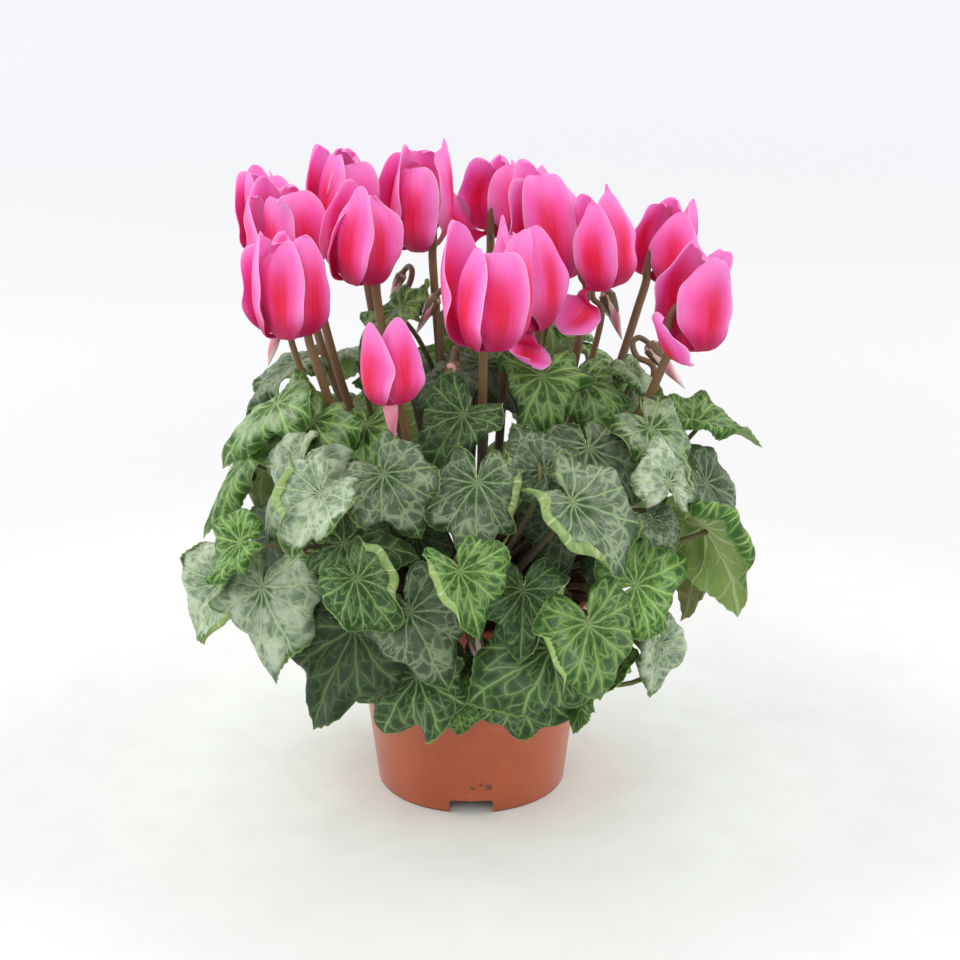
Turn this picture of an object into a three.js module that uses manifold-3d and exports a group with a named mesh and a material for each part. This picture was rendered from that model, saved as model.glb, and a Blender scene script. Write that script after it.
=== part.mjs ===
// A potted cyclamen: a terracotta-coloured nursery pot with its compost and the tuber in it, and
// the leaves, buds and blooms that grow from the tuber's crown.
// Millimetres, +Z up. The origin is the middle of the pot's foot, on the surface it stands on.
// The front of the plant faces -Y, and its right-hand side is +X.
import * as THREE from "three";
import { mergeVertices } from "three/addons/utils/BufferGeometryUtils.js";
import Module from "manifold-3d";

const wasm = await Module();
wasm.setup();

// Driving dimensions.
const GAP = 0.3; // between pieces that touch
const POT = {
  rimRadius: 60,
  footRadius: 46,
  height: 100,
  wall: 1.8,
  collarHeight: 15,
  collarProud: 1.6,
  footRing: 3,
  recess: 3,
  padRadius: 12,
  floor: 2.2,
  sides: 32,
};
const DRAIN = { count: 3, width: 21, height: 7, depth: 11 };
const SOIL = { edge: 86, middle: 91, sides: 16 };
const TUBER = { radius: 27, height: 15, middle: 87, sides: 14 };
const STALK = { foot: 1.9, neck: 1.6, sides: 4 };
const BUD_STALK = { foot: 1.5, neck: 1.1, sides: 4 };
const PETIOLE = { foot: 1.6, neck: 1.2, sides: 3, joint: 3.8 };
const BLADE = { thick: 0.9, reachBack: 163 };
const PETAL = { width: 12.4, thick: 0.8 };
const TUBE = { mouth: 6.6, top: 3.4, length: 11 };

// Plain helpers.
const RAD = Math.PI / 180;
const v3 = (x, y, z) => new THREE.Vector3(x, y, z);
const smooth = (low, high, x) => {
  const t = Math.min(1, Math.max(0, (x - low) / (high - low)));
  return t * t * (3 - 2 * t);
};

// A repeatable draw between low and high.
let seed = 20277;
function draw(low, high) {
  seed = (seed * 1664525 + 1013904223) % 4294967296;
  return low + ((high - low) * seed) / 4294967296;
}

// The unit vector at a bearing (0 faces the front, 90 the right) and a lift above the horizon.
function heading(bearing, lift) {
  const b = bearing * RAD;
  const l = lift * RAD;
  return v3(Math.sin(b) * Math.cos(l), -Math.cos(b) * Math.cos(l), Math.sin(l));
}

// A closed geometry as a solid with its faces pointing out.
function solidOf(geometry) {
  const bare = geometry.clone();
  bare.deleteAttribute("normal");
  bare.deleteAttribute("uv");
  const merged = mergeVertices(bare, 1e-4);
  const vertProperties = new Float32Array(merged.attributes.position.array);
  const triVerts = new Uint32Array(merged.index.array);
  const made = new wasm.Manifold(new wasm.Mesh({ numProp: 3, vertProperties, triVerts }));
  if (made.volume() > 0) return made;
  const turned = triVerts.slice().reverse();
  return new wasm.Manifold(new wasm.Mesh({ numProp: 3, vertProperties, triVerts: turned }));
}

function geometryOf(solid) {
  const mesh = solid.getMesh();
  const geometry = new THREE.BufferGeometry();
  geometry.setAttribute("position", new THREE.BufferAttribute(mesh.vertProperties, 3));
  geometry.setIndex(new THREE.BufferAttribute(mesh.triVerts, 1));
  geometry.computeVertexNormals();
  return geometry;
}

// Everything joined, without the slivers of air that stay shut in where pieces cross.
function union(solids) {
  const all = solids.reduce((sum, one) => sum.add(one));
  const bodies = all.decompose().sort((a, b) => b.volume() - a.volume());
  if (bodies.length > 1 && Math.abs(bodies[1].volume()) > 0.5) throw new Error("loose body");
  return bodies[0];
}

function geometryFrom(points, faces) {
  const geometry = new THREE.BufferGeometry();
  const flat = points.flatMap((p) => [p.x, p.y, p.z]);
  geometry.setAttribute("position", new THREE.Float32BufferAttribute(flat, 3));
  geometry.setIndex(faces.flat());
  return geometry;
}

// A body of revolution about Z, from [radius, height] pairs.
function turned(profile, sides) {
  const points = profile.map(([r, z]) => new THREE.Vector2(r, z));
  return new THREE.LatheGeometry(points, sides).rotateX(Math.PI / 2);
}

// A round stem along a curve, with a ring at each of the stations. Its foot lies square to out, and
// its end to the curve or to a given way.
function stem(curve, { foot, neck, sides }, out, stations, end) {
  const points = [];
  const faces = [];
  const last = (stations.length - 1) * sides;
  let across = Math.abs(out.x) < 0.8 ? v3(1, 0, 0) : v3(0, 1, 0);
  stations.forEach((t, i) => {
    const centre = curve.getPoint(t);
    const inside = i === stations.length - 1 && end ? end : curve.getTangent(t);
    const along = i === 0 ? out : inside;
    across = across.clone().addScaledVector(along, -across.dot(along)).normalize();
    const third = along.clone().cross(across);
    const radius = foot + (neck - foot) * t;
    for (let j = 0; j < sides; j++) {
      const a = (2 * Math.PI * j) / sides;
      const rim = centre.clone().addScaledVector(across, radius * Math.cos(a));
      points.push(rim.addScaledVector(third, radius * Math.sin(a)));
    }
  });
  for (let i = 0; i < last; i += sides) {
    for (let j = 0; j < sides; j++) {
      const a = i + j;
      const b = i + ((j + 1) % sides);
      faces.push([a, b, b + sides], [a, b + sides, a + sides]);
    }
  }
  for (let j = 1; j + 1 < sides; j++) {
    faces.push([0, j + 1, j], [last, last + j, last + j + 1]);
  }
  return geometryFrom(points, faces);
}

// A thin plate: upper points, the same points moved down by the thickness, and the rim between.
function plate(uppers, lowers, faces, rim) {
  const n = uppers.length;
  const under = faces.map(([a, b, c]) => [a + n, c + n, b + n]);
  const sides = rim.flatMap((a, i) => {
    const b = rim[(i + 1) % rim.length];
    return [
      [a, a + n, b + n],
      [a, b + n, b],
    ];
  });
  return geometryFrom([...uppers, ...lowers], [...faces, ...under, ...sides]);
}

// The pot: a thin tapered wall with a collar, standing on a foot ring and a middle pad.
const wallRadius = (z) =>
  POT.footRadius + ((POT.rimRadius - POT.collarProud - POT.footRadius) * z) / POT.height;

function makePot() {
  const { wall, recess, floor, height, collarHeight, collarProud, footRadius } = POT;
  const collarFoot = height - collarHeight;
  const inner = (z) => wallRadius(z) - wall;
  const floorTop = recess + floor;
  const body = solidOf(
    turned(
      [
        [0, 0],
        [POT.padRadius, 0],
        [POT.padRadius + 2, recess],
        [footRadius - POT.footRing - 1, recess],
        [footRadius - POT.footRing, 0],
        [footRadius, 0],
        [wallRadius(collarFoot), collarFoot],
        [wallRadius(collarFoot) + collarProud, collarFoot + 1.2],
        [POT.rimRadius, height],
        [POT.rimRadius - collarProud - wall, height],
        [inner(floorTop), floorTop],
        [0, floorTop],
      ],
      POT.sides,
    ),
  );
  const holes = [];
  for (let i = 0; i < DRAIN.count; i++) {
    const hole = new THREE.BoxGeometry(DRAIN.width, DRAIN.depth * 2, DRAIN.height * 2);
    hole.translate(0, -footRadius - 1, 0);
    hole.rotateZ((2 * Math.PI * i) / DRAIN.count);
    holes.push(solidOf(hole));
  }
  return holes.reduce((left, hole) => left.subtract(hole), body);
}

// The compost: it fills the pot to a little under the rim and holds the tuber half sunk.
function makeSoil() {
  const bottom = POT.recess + POT.floor + GAP;
  const inside = (z) => wallRadius(z) - POT.wall - GAP;
  const bulk = solidOf(
    turned(
      [
        [0, bottom],
        [inside(bottom) - 0.2, bottom],
        [inside(SOIL.edge) - 0.2, SOIL.edge],
        [inside(SOIL.edge) * 0.72, SOIL.edge + 2.6],
        [0, SOIL.middle],
      ],
      SOIL.sides,
    ),
  );
  return bulk.subtract(makeTuber(GAP * 1.4));
}

// The height of the tuber's skin at a distance from its middle.
const crownHeight = (r) => TUBER.middle + TUBER.height * Math.sqrt(1 - (r / TUBER.radius) ** 2);

function makeTuber(extra) {
  const rows = 6;
  const profile = [];
  for (let i = 0; i <= rows; i++) {
    const a = -Math.PI / 2 + (Math.PI * i) / rows;
    const r = i === 0 || i === rows ? 0 : (TUBER.radius + extra) * Math.cos(a);
    profile.push([r, TUBER.middle + (TUBER.height + extra) * Math.sin(a)]);
  }
  return solidOf(turned(profile, TUBER.sides));
}

// A place on the tuber's crown just clear of its skin, and the way the skin faces there.
function crownSpot(bearing, r) {
  const flat = heading(bearing, 0);
  const slope = (TUBER.height / TUBER.radius) ** 2 * (r / (crownHeight(r) - TUBER.middle));
  const out = v3(flat.x * slope, flat.y * slope, 1).normalize();
  const at = v3(flat.x * r, flat.y * r, crownHeight(r)).addScaledVector(out, GAP);
  return { at, out };
}

// Balls that what grows already fills, each [x, y, z, radius]. A leaf is moved until it is clear.
const filled = [];
const BALL = { blade: 2.4, petiole: 1.9, stalk: 2.4, petal: 3 };

function fill(points, radius, spray = "") {
  for (const p of points) filled.push({ x: p.x, y: p.y, z: p.z, radius, spray });
}

// Over the compost and the rim of the pot nothing may hang lower than this.
const lowestOver = (across) => 91 + Math.min(12, Math.max(0, (across - 30) * 0.38));

function isClear(points, radius, balls) {
  return points.every((p) => {
    const across = Math.hypot(p.x, p.y);
    const outside = across > wallRadius(Math.min(p.z, POT.height)) + radius + 2.6;
    if (!outside && p.z < lowestOver(across) + radius) return false;
    return balls.every((ball) => {
      const near = ball.radius + radius;
      return (p.x - ball.x) ** 2 + (p.y - ball.y) ** 2 + (p.z - ball.z) ** 2 > near * near;
    });
  });
}

// Leaves. A blade is heart-shaped, and the stalk meets it at the notch of the heart.
// angle is measured there from the tip, and the outline's distance is a share of the leaf's length.
function outline(angle) {
  const a = Math.abs(angle);
  const heart = 0.48 + 0.07 * Math.cos(a * RAD) + 0.16 * Math.exp(-a / 14);
  const notch = 1 - 0.6 * smooth(140, 178, a);
  return heart * notch * (1 + 0.035 * Math.cos(7 * angle * RAD));
}

// The blade's shape in its own frame: x to the tip, y across, z out of the upper side.
function bladeShape(leaf, angle, share) {
  const r = share * outline(angle) * leaf.size;
  const x = r * Math.cos(angle * RAD);
  const y = r * Math.sin(angle * RAD);
  const soft = 0.1 * leaf.size;
  let z = leaf.fold * (Math.hypot(y, soft) - soft);
  z += 0.045 * leaf.size * share * share * leaf.wave * Math.sin(4 * angle * RAD + leaf.phase);
  const roll = leaf.roll / (0.5 * leaf.size);
  const y2 = roll ? Math.sin(roll * y) / roll + z * Math.sin(roll * y) : y;
  const z2 = roll ? z * Math.cos(roll * y) - (1 - Math.cos(roll * y)) / roll : z;
  const curl = (x > 0 ? leaf.curl : leaf.curl * 0.45) / (0.7 * leaf.size);
  if (!curl) return v3(x, y2, z2);
  const bend = curl * x;
  return v3(
    Math.sin(bend) / curl + z2 * Math.sin(bend),
    y2,
    z2 * Math.cos(bend) - (1 - Math.cos(bend)) / curl,
  );
}

function bladeFrame(leaf) {
  const up = heading(leaf.bearing, leaf.lift);
  const down = heading(leaf.bearing, leaf.lift - 90);
  const right = v3(Math.cos(leaf.bearing * RAD), Math.sin(leaf.bearing * RAD), 0);
  const tip = down
    .multiplyScalar(Math.cos(leaf.turn * RAD))
    .addScaledVector(right, Math.sin(leaf.turn * RAD));
  return new THREE.Matrix4().makeBasis(tip, up.clone().cross(tip), up);
}

const bladePoint = (leaf, frame, angle, share) =>
  bladeShape(leaf, angle, share).applyMatrix4(frame).add(leaf.at);

// The stalk of a leaf, from the crown to the middle of the blade next to the notch, which it
// reaches from underneath.
function petioleOf(leaf, root, frame, bend) {
  const up = v3().setFromMatrixColumn(frame, 2);
  const tip = v3().setFromMatrixColumn(frame, 0);
  const joint = bladePoint(leaf, frame, 0, PETIOLE.joint / (outline(0) * leaf.size));
  const span = root.at.distanceTo(joint);
  const start = root.at.clone().addScaledVector(root.out, span * 0.35);
  const end = joint
    .clone()
    .addScaledVector(up, -span * 0.22)
    .addScaledVector(tip, -span * 0.1);
  return new THREE.CubicBezierCurve3(root.at, start.add(bend), end.add(bend), joint);
}

const FEEL = [
  [0.22, 6],
  [0.42, 12],
  [0.62, 18],
  [0.82, 24],
  [1, 32],
];

function feelersOf(leaf, frame) {
  const points = [leaf.at.clone()];
  for (const [share, count] of FEEL) {
    for (let i = 0; i < count; i++) {
      const angle = BLADE.reachBack * ((2 * i) / (count - 1) - 1);
      points.push(bladePoint(leaf, frame, angle, share));
    }
  }
  return points;
}

// Points along a leaf's stalk, without those next to the crown and to its own blade.
const alongOf = (curve) => curve.getPoints(44).slice(2, 43);

// Moves a leaf by the smallest step, and bows its stalk, until neither meets what is there.
const STEPS = { count: 300, reach: 24, turn: 137.508, bows: 12, bowReach: [0, 8, 16, 24, 34] };

function settle(leaf, root, spray) {
  const frame = bladeFrame(leaf);
  const home = leaf.at.clone();
  const near = leaf.size + 1.6 * STEPS.reach + 6;
  const balls = filled.filter(({ x, y, z }) => v3(x, y, z).distanceTo(home) < near);
  const strangers = filled.filter((ball) => ball.spray !== spray || ball.radius === BALL.blade);
  for (const share of [1, 0.88, 0.76, 0.66]) {
    leaf.size *= share;
    for (let i = 0; i < STEPS.count; i++) {
      const far = STEPS.reach * Math.sqrt(i / STEPS.count);
      const rise = 1 - (2 * (i % 21)) / 20;
      const level = Math.sqrt(1 - rise * rise);
      const a = i * STEPS.turn * RAD;
      const step = v3(0.6 * level * Math.cos(a), 1.5 * level * Math.sin(a), 0.6 * rise);
      leaf.at.copy(home).addScaledVector(step, far);
      const feelers = feelersOf(leaf, frame);
      if (!isClear(feelers, BALL.blade, balls)) continue;
      for (const bowReach of STEPS.bowReach) {
        for (let j = 0; j < (bowReach ? STEPS.bows : 1); j++) {
          const b = (2 * Math.PI * j) / STEPS.bows;
          const bow = v3(bowReach * Math.cos(b), bowReach * Math.sin(b), bowReach * 0.25);
          const curve = petioleOf(leaf, root, frame, bow);
          const along = alongOf(curve);
          if (isClear(along, BALL.petiole, strangers)) return { frame, feelers, curve, along };
        }
      }
    }
  }
  throw new Error(`no room for a leaf of ${spray}`);
}

// Directions, from the tip, of the blade's outline points, and which of them the coarser ring inside
// the blade has too.
const EDGE = [-163, -136, -100, -62, -24, 0, 24, 62, 100, 136, 163];
const RING = [2, 5, 8];

function bladeSolid(leaf, frame) {
  const up = v3().setFromMatrixColumn(frame, 2);
  const spots = [
    [0, 0],
    ...RING.map((i) => [EDGE[i], 0.56]),
    ...EDGE.map((angle) => [angle, 1]),
  ];
  const middle = spots.map(([angle, share]) => bladePoint(leaf, frame, angle, share));
  const ringAt = (i) => 1 + i;
  const edgeAt = (i) => 1 + RING.length + i;
  const faces = [];
  // The ears next to the notch run straight from the middle to the edge.
  const ends = [
    [edgeAt(0), edgeAt(1), ringAt(0), edgeAt(RING[0])],
    [edgeAt(EDGE.length - 1), edgeAt(EDGE.length - 2), ringAt(RING.length - 1), edgeAt(RING.at(-1))],
  ];
  const [[a, b, c, d], [e, g, h, k]] = ends;
  faces.push([0, a, b], [0, b, c], [c, b, d], [0, g, e], [0, h, g], [h, k, g]);
  for (let i = 0; i + 1 < RING.length; i++) {
    faces.push([0, ringAt(i), ringAt(i + 1)]);
    let outer = RING[i];
    const turnOver = Math.round((RING[i] + RING[i + 1]) / 2);
    for (; outer < turnOver; outer++) {
      faces.push([ringAt(i), edgeAt(outer), edgeAt(outer + 1)]);
    }
    faces.push([ringAt(i), edgeAt(turnOver), ringAt(i + 1)]);
    for (; outer < RING[i + 1]; outer++) {
      faces.push([ringAt(i + 1), edgeAt(outer), edgeAt(outer + 1)]);
    }
  }
  const rim = [0];
  for (let i = 0; i < EDGE.length; i++) rim.push(edgeAt(i));
  const normals = geometryFrom(middle, faces);
  normals.computeVertexNormals();
  const facing = middle.map((_, i) => {
    const n = v3().fromBufferAttribute(normals.attributes.normal, i);
    return n.dot(up) < -0.99 ? n.negate() : n;
  });
  const half = BLADE.thick / 2;
  const uppers = middle.map((p, i) => p.clone().addScaledVector(facing[i], half));
  const lowers = middle.map((p, i) => p.clone().addScaledVector(facing[i], -half));
  return solidOf(plate(uppers, lowers, faces, rim));
}

// The leaves that show from the front, in sprays that share a foot on the crown.
// Each row: x, y, z of the notch; bearing and lift of the way the blade faces; turn of the tip from
// straight downhill, to the right; length; fold of the two halves; curl of the tip; roll of the sides.
// A last 1 marks a leaf that hangs deep inside.
const FRONT_SPRAYS = [
  {
    name: "leaf_spray_left_outer",
    root: [-62, 24],
    leaves: [
      [-92, -92, 136, -38, 22, 10, 56, -0.1, 0.4, 0.3],
      [-116, -50, 121, -35, 22, -36, 44, 0.25, 0.5, 0],
      [-97, -78, 151, -50, 36, -50, 36, 0.35, 0.4, 0],
      [-92, -48, 144, -58, 28, 0, 44, 0.1, 0.4, 0.2, 1],
    ],
  },
  {
    name: "leaf_spray_left_middle",
    root: [-40, 24],
    leaves: [
      [-51, -104, 122, -24, 26, -18, 62, 0.15, 0.4, 0.2],
      [-57, -92, 156, -15, 66, 100, 42, 0.2, 0.4, 0.2],
      [-55, -98, 136, -30, 42, -70, 46, 0.5, 0.4, 0],
      [-50, -116, 152, 10, 34, 35, 38, 0.5, 0.7, 0],
    ],
  },
  {
    name: "leaf_spray_front_left_low",
    root: [-17, 24],
    leaves: [
      [-23, -104, 99, -20, 26, -32, 48, 0.15, 0.7, 0.2],
      [-21, -112, 142, -8, 26, 28, 48, -0.05, 0.5, 0.3],
      [-6, -96, 82, -10, 14, -55, 26, 0.1, 0.3, 0.3],
      [-5, -76, 102, 2, 16, 5, 38, 0.1, 0.4, 0.2, 1],
    ],
  },
  {
    name: "leaf_spray_front_right_low",
    root: [28, 24],
    leaves: [
      [36, -108, 114, 8, 36, -62, 56, 0.1, 0.5, 0.3],
      [19, -94, 87, 10, 14, 56, 46, 0.05, 0.4, 0.4],
      [64, -84, 87, -95, 49, 0, 40, 0.4, 0.4, 0],
      [22, -84, 119, 6, 14, 20, 44, 0.1, 0.4, 0.2, 1],
    ],
  },
  {
    name: "leaf_spray_right_middle",
    root: [52, 24],
    leaves: [
      [73, -94, 138, 30, 24, 100, 46, 0.05, 0.3, 0.3],
      [52, -106, 129, 20, 22, 10, 47, 0.1, 0.5, 0.35],
      [79, -86, 114, 44, 8, -4, 34, 0.4, 0.3, 0],
      [35, -66, 141, 16, 20, 0, 44, 0.1, 0.4, 0.2, 1],
    ],
  },
  {
    name: "leaf_spray_right_outer",
    root: [76, 24],
    leaves: [
      [106, -56, 152, 140, 28, -20, 58, 0.3, 0.3, 0],
      [109, -34, 162, 62, 30, 22, 50, 0.3, 0.4, 0.1],
      [80, -86, 166, 44, 44, 24, 26, 0.3, 0.4, 0],
    ],
  },
  {
    name: "leaf_spray_front_middle",
    root: [6, 24],
    leaves: [
      [44, -102, 178, 30, 42, 30, 52, 0.3, 0.6, 0.2],
      [23, -108, 141, 8, 22, -5, 38, 0.4, 0.4, 0],
      [41, -86, 155, 8, 30, -12, 42, 0.1, 0.4, 0.3],
      [55, -62, 134, 24, 20, -10, 44, 0.1, 0.4, 0.2, 1],
    ],
  },
  {
    name: "leaf_spray_front_upper",
    root: [-13, 17.5],
    leaves: [
      [3, -98, 187, 4, 32, -4, 47, -0.1, 0.4, 0.5],
      [-3, -112, 154, 18, 34, 12, 38, 0.5, 0.4, 0],
      [-8, -70, 204, -14, 50, -28, 38, 0.4, 0.6, 0],
      [-23, -82, 152, -8, 20, 10, 44, 0.1, 0.4, 0.2, 1],
    ],
  },
  {
    name: "leaf_spray_left_shoulder",
    root: [-78, 17.5],
    leaves: [
      [-75, -74, 184, -44, 36, -14, 50, -0.1, 0.5, 0.35],
      [-75, -50, 200, -50, 52, 10, 42, 0.1, 0.5, 0.4],
      [-80, -16, 203, -78, 60, -12, 50, 0.15, 0.6, 0.5],
    ],
  },
  {
    name: "leaf_spray_left_upper",
    root: [-45, 17.5],
    leaves: [
      [-37, -90, 189, -12, 40, 38, 42, 0.3, 0.6, 0],
      [-65, -82, 178, -30, 45, -15, 40, 0.5, 0.5, 0],
      [-64, -70, 140, -36, 20, -20, 44, 0.1, 0.4, 0.2, 1],
      [-50, -56, 200, -35, 60, 25, 32, 0.35, 0.5, 0.1],
    ],
  },
  {
    name: "leaf_spray_right_upper",
    root: [20, 17.5],
    leaves: [
      [52, -74, 193, 18, 50, 4, 56, -0.1, 0.5, 0.5],
      [35, -92, 190, 2, 30, -150, 32, 0.1, 0.3, 0.2],
      [32, -42, 216, 12, 44, 5, 34, 0.1, 0.4, 0.3],
    ],
  },
  {
    name: "leaf_spray_right_shoulder",
    root: [53, 17.5],
    leaves: [
      [82, -76, 174, 36, 34, 160, 48, -0.1, 0.4, 0.4],
      [73, -58, 191, 42, 48, 8, 42, 0.3, 0.6, 0.2],
      [102, -30, 183, 80, 84, 0, 42, 0.5, 0.3, 0],
    ],
  },
  {
    name: "leaf_spray_right_top",
    root: [86, 17.5],
    leaves: [
      [52, -10, 217, 30, 64, -8, 48, 0.1, 0.5, 0.35],
      [80, 6, 206, 70, 58, -20, 36, 0.2, 0.5, 0.3],
      [86, -22, 197, 70, 55, 165, 28, 0.4, 0.3, 0],
    ],
  },
  {
    name: "leaf_spray_top",
    root: [184, 17.5],
    leaves: [
      [-34, 30, 234, -70, 58, -20, 48, 0.3, 0.5, 0.3],
      [-9, 6, 206, -10, 70, -30, 36, 0.3, 0.4, 0.2],
      [14, 36, 204, 20, 60, 20, 40, 0.3, 0.4, 0.2],
    ],
  },
];

// The leaves round the back follow one rule: each spray has one leaf in each tier of the dome.
const BACK = { first: 98, last: 262 };
// Where each stands on the crown, as bearing and distance.
const BACK_ROOTS = [
  [98, 24],
  [118, 17.5],
  [140, 24],
  [182, 24],
  [216, 17.5],
  [224, 24],
  [258, 24],
];
const TIERS = [
  { reach: 112, height: 112, lift: 14, size: 54, swing: -5 },
  { reach: 112, height: 158, lift: 34, size: 52, swing: 5 },
  { reach: 76, height: 200, lift: 58, size: 50, swing: -4 },
];
const TOP_TIER = { reach: 34, height: 216, lift: 76, size: 46, swing: 2 };

function backSpray(number) {
  const middle = BACK.first + ((BACK.last - BACK.first) * number) / (BACK_ROOTS.length - 1);
  const tiers = number % 3 === 1 ? [...TIERS, TOP_TIER] : TIERS;
  const leaves = tiers.map((tier) => {
    const bearing = middle + tier.swing + draw(-4, 4);
    const out = heading(bearing, 0).multiplyScalar(tier.reach + draw(-7, 7));
    return [
      out.x,
      out.y,
      tier.height + draw(-8, 8),
      bearing + draw(-14, 14),
      tier.lift + draw(-10, 10),
      draw(-24, 24),
      tier.size * draw(0.88, 1.1),
      draw(-0.1, 0.4),
      draw(0.4, 0.9),
      draw(0.1, 0.4),
    ];
  });
  const name = `leaf_spray_back_${String(number + 1).padStart(2, "0")}`;
  return { name, root: BACK_ROOTS[number], leaves };
}

const asLeaf = ([x, y, z, bearing, lift, turn, size, fold, curl, roll, deep = 0]) => ({
  at: v3(x, y, z),
  bearing,
  lift,
  turn,
  size,
  fold,
  curl,
  roll,
  deep: deep === 1,
  wave: draw(0.6, 1.4),
  phase: draw(0, 6.28),
});

// Blooms. Each row: x, y, z of the mouth; height; spread; the bearing the bloom leans to and by how
// much; spin of its stalk's side from the plant's middle; twist of the petals.
const BLOOMS = [
  [-93, 41, 255, 42, 0.88, -90, 8, 0, 20],
  [-84, 8, 253, 43, 0.94, -60, 8, 10, 20],
  [-82, -38, 237, 47, 0.94, -40, 3, -8, 20],
  [-60, 32, 258, 51, 0.96, 20, 2, 12, 18],
  [-52, -13, 256, 44, 0.92, 60, 8, -10, 22],
  [-25, 34, 260, 49, 0.98, 10, 3, 8, 18],
  [13, 66, 260, 37, 0.9, 0, 8, -10, 22],
  [8, -58, 237, 51, 1.0, 0, 2, 5, 20],
  [25, -24, 236, 48, 0.84, 30, 4, 14, 20],
  [41, 28, 246, 56, 0.96, -90, 11, -5, 22],
  [60, -2, 250, 42, 0.88, -80, 8, -40, 24],
  [93, 44, 242, 38, 0.92, 60, 10, 0, 26],
  [100, -22, 227, 47, 0.96, 40, 6, 10, 20],
  [-35, -76, 218, 37, 0.86, -40, 4, 0, 12],
];

// Blooms with a petal that has come loose, as its place, how far it leans, and its share of length,
// and the young bloom, which has opened two petals and holds the others rolled in a nose.
const BLOOM_EXTRAS = {
  7: { loose: [4, 45, 0.8] },
  9: { loose: [1, 125, 0.36] },
  11: { loose: [0, 122, 0.62] },
  12: { loose: [1, 45, 0.9] },
  13: { loose: [0, 55, 0.85] },
  14: { angles: [171, 238], nose: 22 },
};
const PETAL_ANGLES = [66, 126, 186, 246, 306];

// Buds. Each row: x, y, z of the calyx; length; the bearing the bud points to, and its slope down.
const BUDS = [
  [-34, 52, 242, 15, -120, 60],
  [-17, 2, 243, 20, -110, 62],
  [-8, -38, 222, 24, -20, 84],
  [66, 46, 234, 24, 60, 68],
  [86, 16, 216, 26, 70, 48],
  [-88, -12, 238, 24, -70, 74],
];
// Two low ones share a foot and lean out over the rim.
const LOW_BUDS = [
  [-17, -84, 108, 20, -5, 76],
  [1, -88, 113, 22, 32, 60],
];

// The petal's middle line, as its distance from the bloom's axis and its height over the mouth.
function petalLine(bloom, t) {
  const open = bloom.spread;
  const r = [6, 17 * open, 22 * open, 8.5 * open];
  const h = [0.4, -1.5, 0.55 * bloom.height, bloom.height];
  const u = 1 - t;
  const weights = [u * u * u, 3 * u * u * t, 3 * u * t * t, t * t * t];
  const sum = (list) => list.reduce((all, value, i) => all + value * weights[i], 0);
  return [sum(r), sum(h)];
}

function petalHalfWidth(bloom, t) {
  const round = t < 0.6 ? 1 : Math.sqrt(Math.max(0, 1 - ((t - 0.6) / 0.4) ** 2.4));
  return PETAL.width * bloom.spread * (0.22 + 0.78 * smooth(0, 0.55, t)) * round;
}

// A point of the petal that stands at an angle round the bloom. across runs from -1 to 1.
function petalPoint(bloom, index, t, across) {
  const petal = bloom.petals[index];
  const [r, h] = petalLine(bloom, t);
  const [r2, h2] = petalLine(bloom, Math.min(1, t + 0.01));
  const [r1, h1] = petalLine(bloom, Math.max(0, t - 0.01));
  const run = Math.hypot(r2 - r1, h2 - h1);
  const out = [(h2 - h1) / run, -(r2 - r1) / run];
  const half = petalHalfWidth(bloom, t);
  const twist = bloom.twist * RAD * smooth(0, 0.25, t);
  const side = across * half * Math.cos(twist);
  const lean = across * half * Math.sin(twist) - (across * half) ** 2 / (34 * bloom.spread);
  const a = petal.lean * RAD * smooth(0, 0.35, t);
  const far = r + lean * out[0] - TUBE.mouth;
  const high = (h + lean * out[1]) * petal.tall;
  const reach = TUBE.mouth + far * Math.cos(a) + high * Math.sin(a);
  const height = high * Math.cos(a) - far * Math.sin(a);
  const angle = petal.angle * RAD;
  const c = Math.cos(angle);
  const s = Math.sin(angle);
  return v3(reach * c - side * s, reach * s + side * c, height);
}

// How far up a petal its rows of three points stand.
const PETAL_ROWS = [0, 0.32, 0.68, 0.97];

function petalSolid(bloom, index) {
  const rows = PETAL_ROWS.length;
  const spots = [];
  for (const t of PETAL_ROWS) {
    for (const across of [-1, 0, 1]) spots.push([t, across]);
  }
  const faces = [];
  for (let i = 0; i + 1 < rows; i++) {
    for (const j of [0, 1]) {
      const a = i * 3 + j;
      faces.push([a, a + 1, a + 4], [a, a + 4, a + 3]);
    }
  }
  const rim = [];
  for (let i = 0; i < rows; i++) rim.push(i * 3);
  rim.push(rows * 3 - 2);
  for (let i = rows - 1; i >= 0; i--) rim.push(i * 3 + 2);
  rim.push(1);
  const middle = spots.map(([t, across]) => petalPoint(bloom, index, t, across));
  const sheet = geometryFrom(middle, faces);
  sheet.computeVertexNormals();
  const facing = middle.map((_, i) => v3().fromBufferAttribute(sheet.attributes.normal, i));
  const half = PETAL.thick / 2;
  const uppers = middle.map((p, i) => p.clone().addScaledVector(facing[i], half));
  const lowers = middle.map((p, i) => p.clone().addScaledVector(facing[i], -half));
  const flipped = rim.slice().reverse();
  return solidOf(plate(uppers, lowers, faces, flipped));
}

// The short tube of the corolla, its mouth down, which the petals spring from.
function tubeSolid() {
  const { mouth, top, length } = TUBE;
  return solidOf(
    turned(
      [
        [0, length],
        [top, length],
        [mouth, 0.6],
        [mouth - 1.6, -1],
        [0, 4],
      ],
      7,
    ),
  );
}

function corollaSolid(bloom) {
  const solids = [tubeSolid(), ...bloom.petals.map((_, index) => petalSolid(bloom, index))];
  if (bloom.nose) {
    const nose = [
      [0, 6],
      [3, 6],
      [3.4, -4],
      [1.6, -0.7 * bloom.nose],
      [0, -bloom.nose],
    ];
    solids.push(solidOf(turned(nose.reverse(), 6)));
  }
  return union(solids);
}

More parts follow.
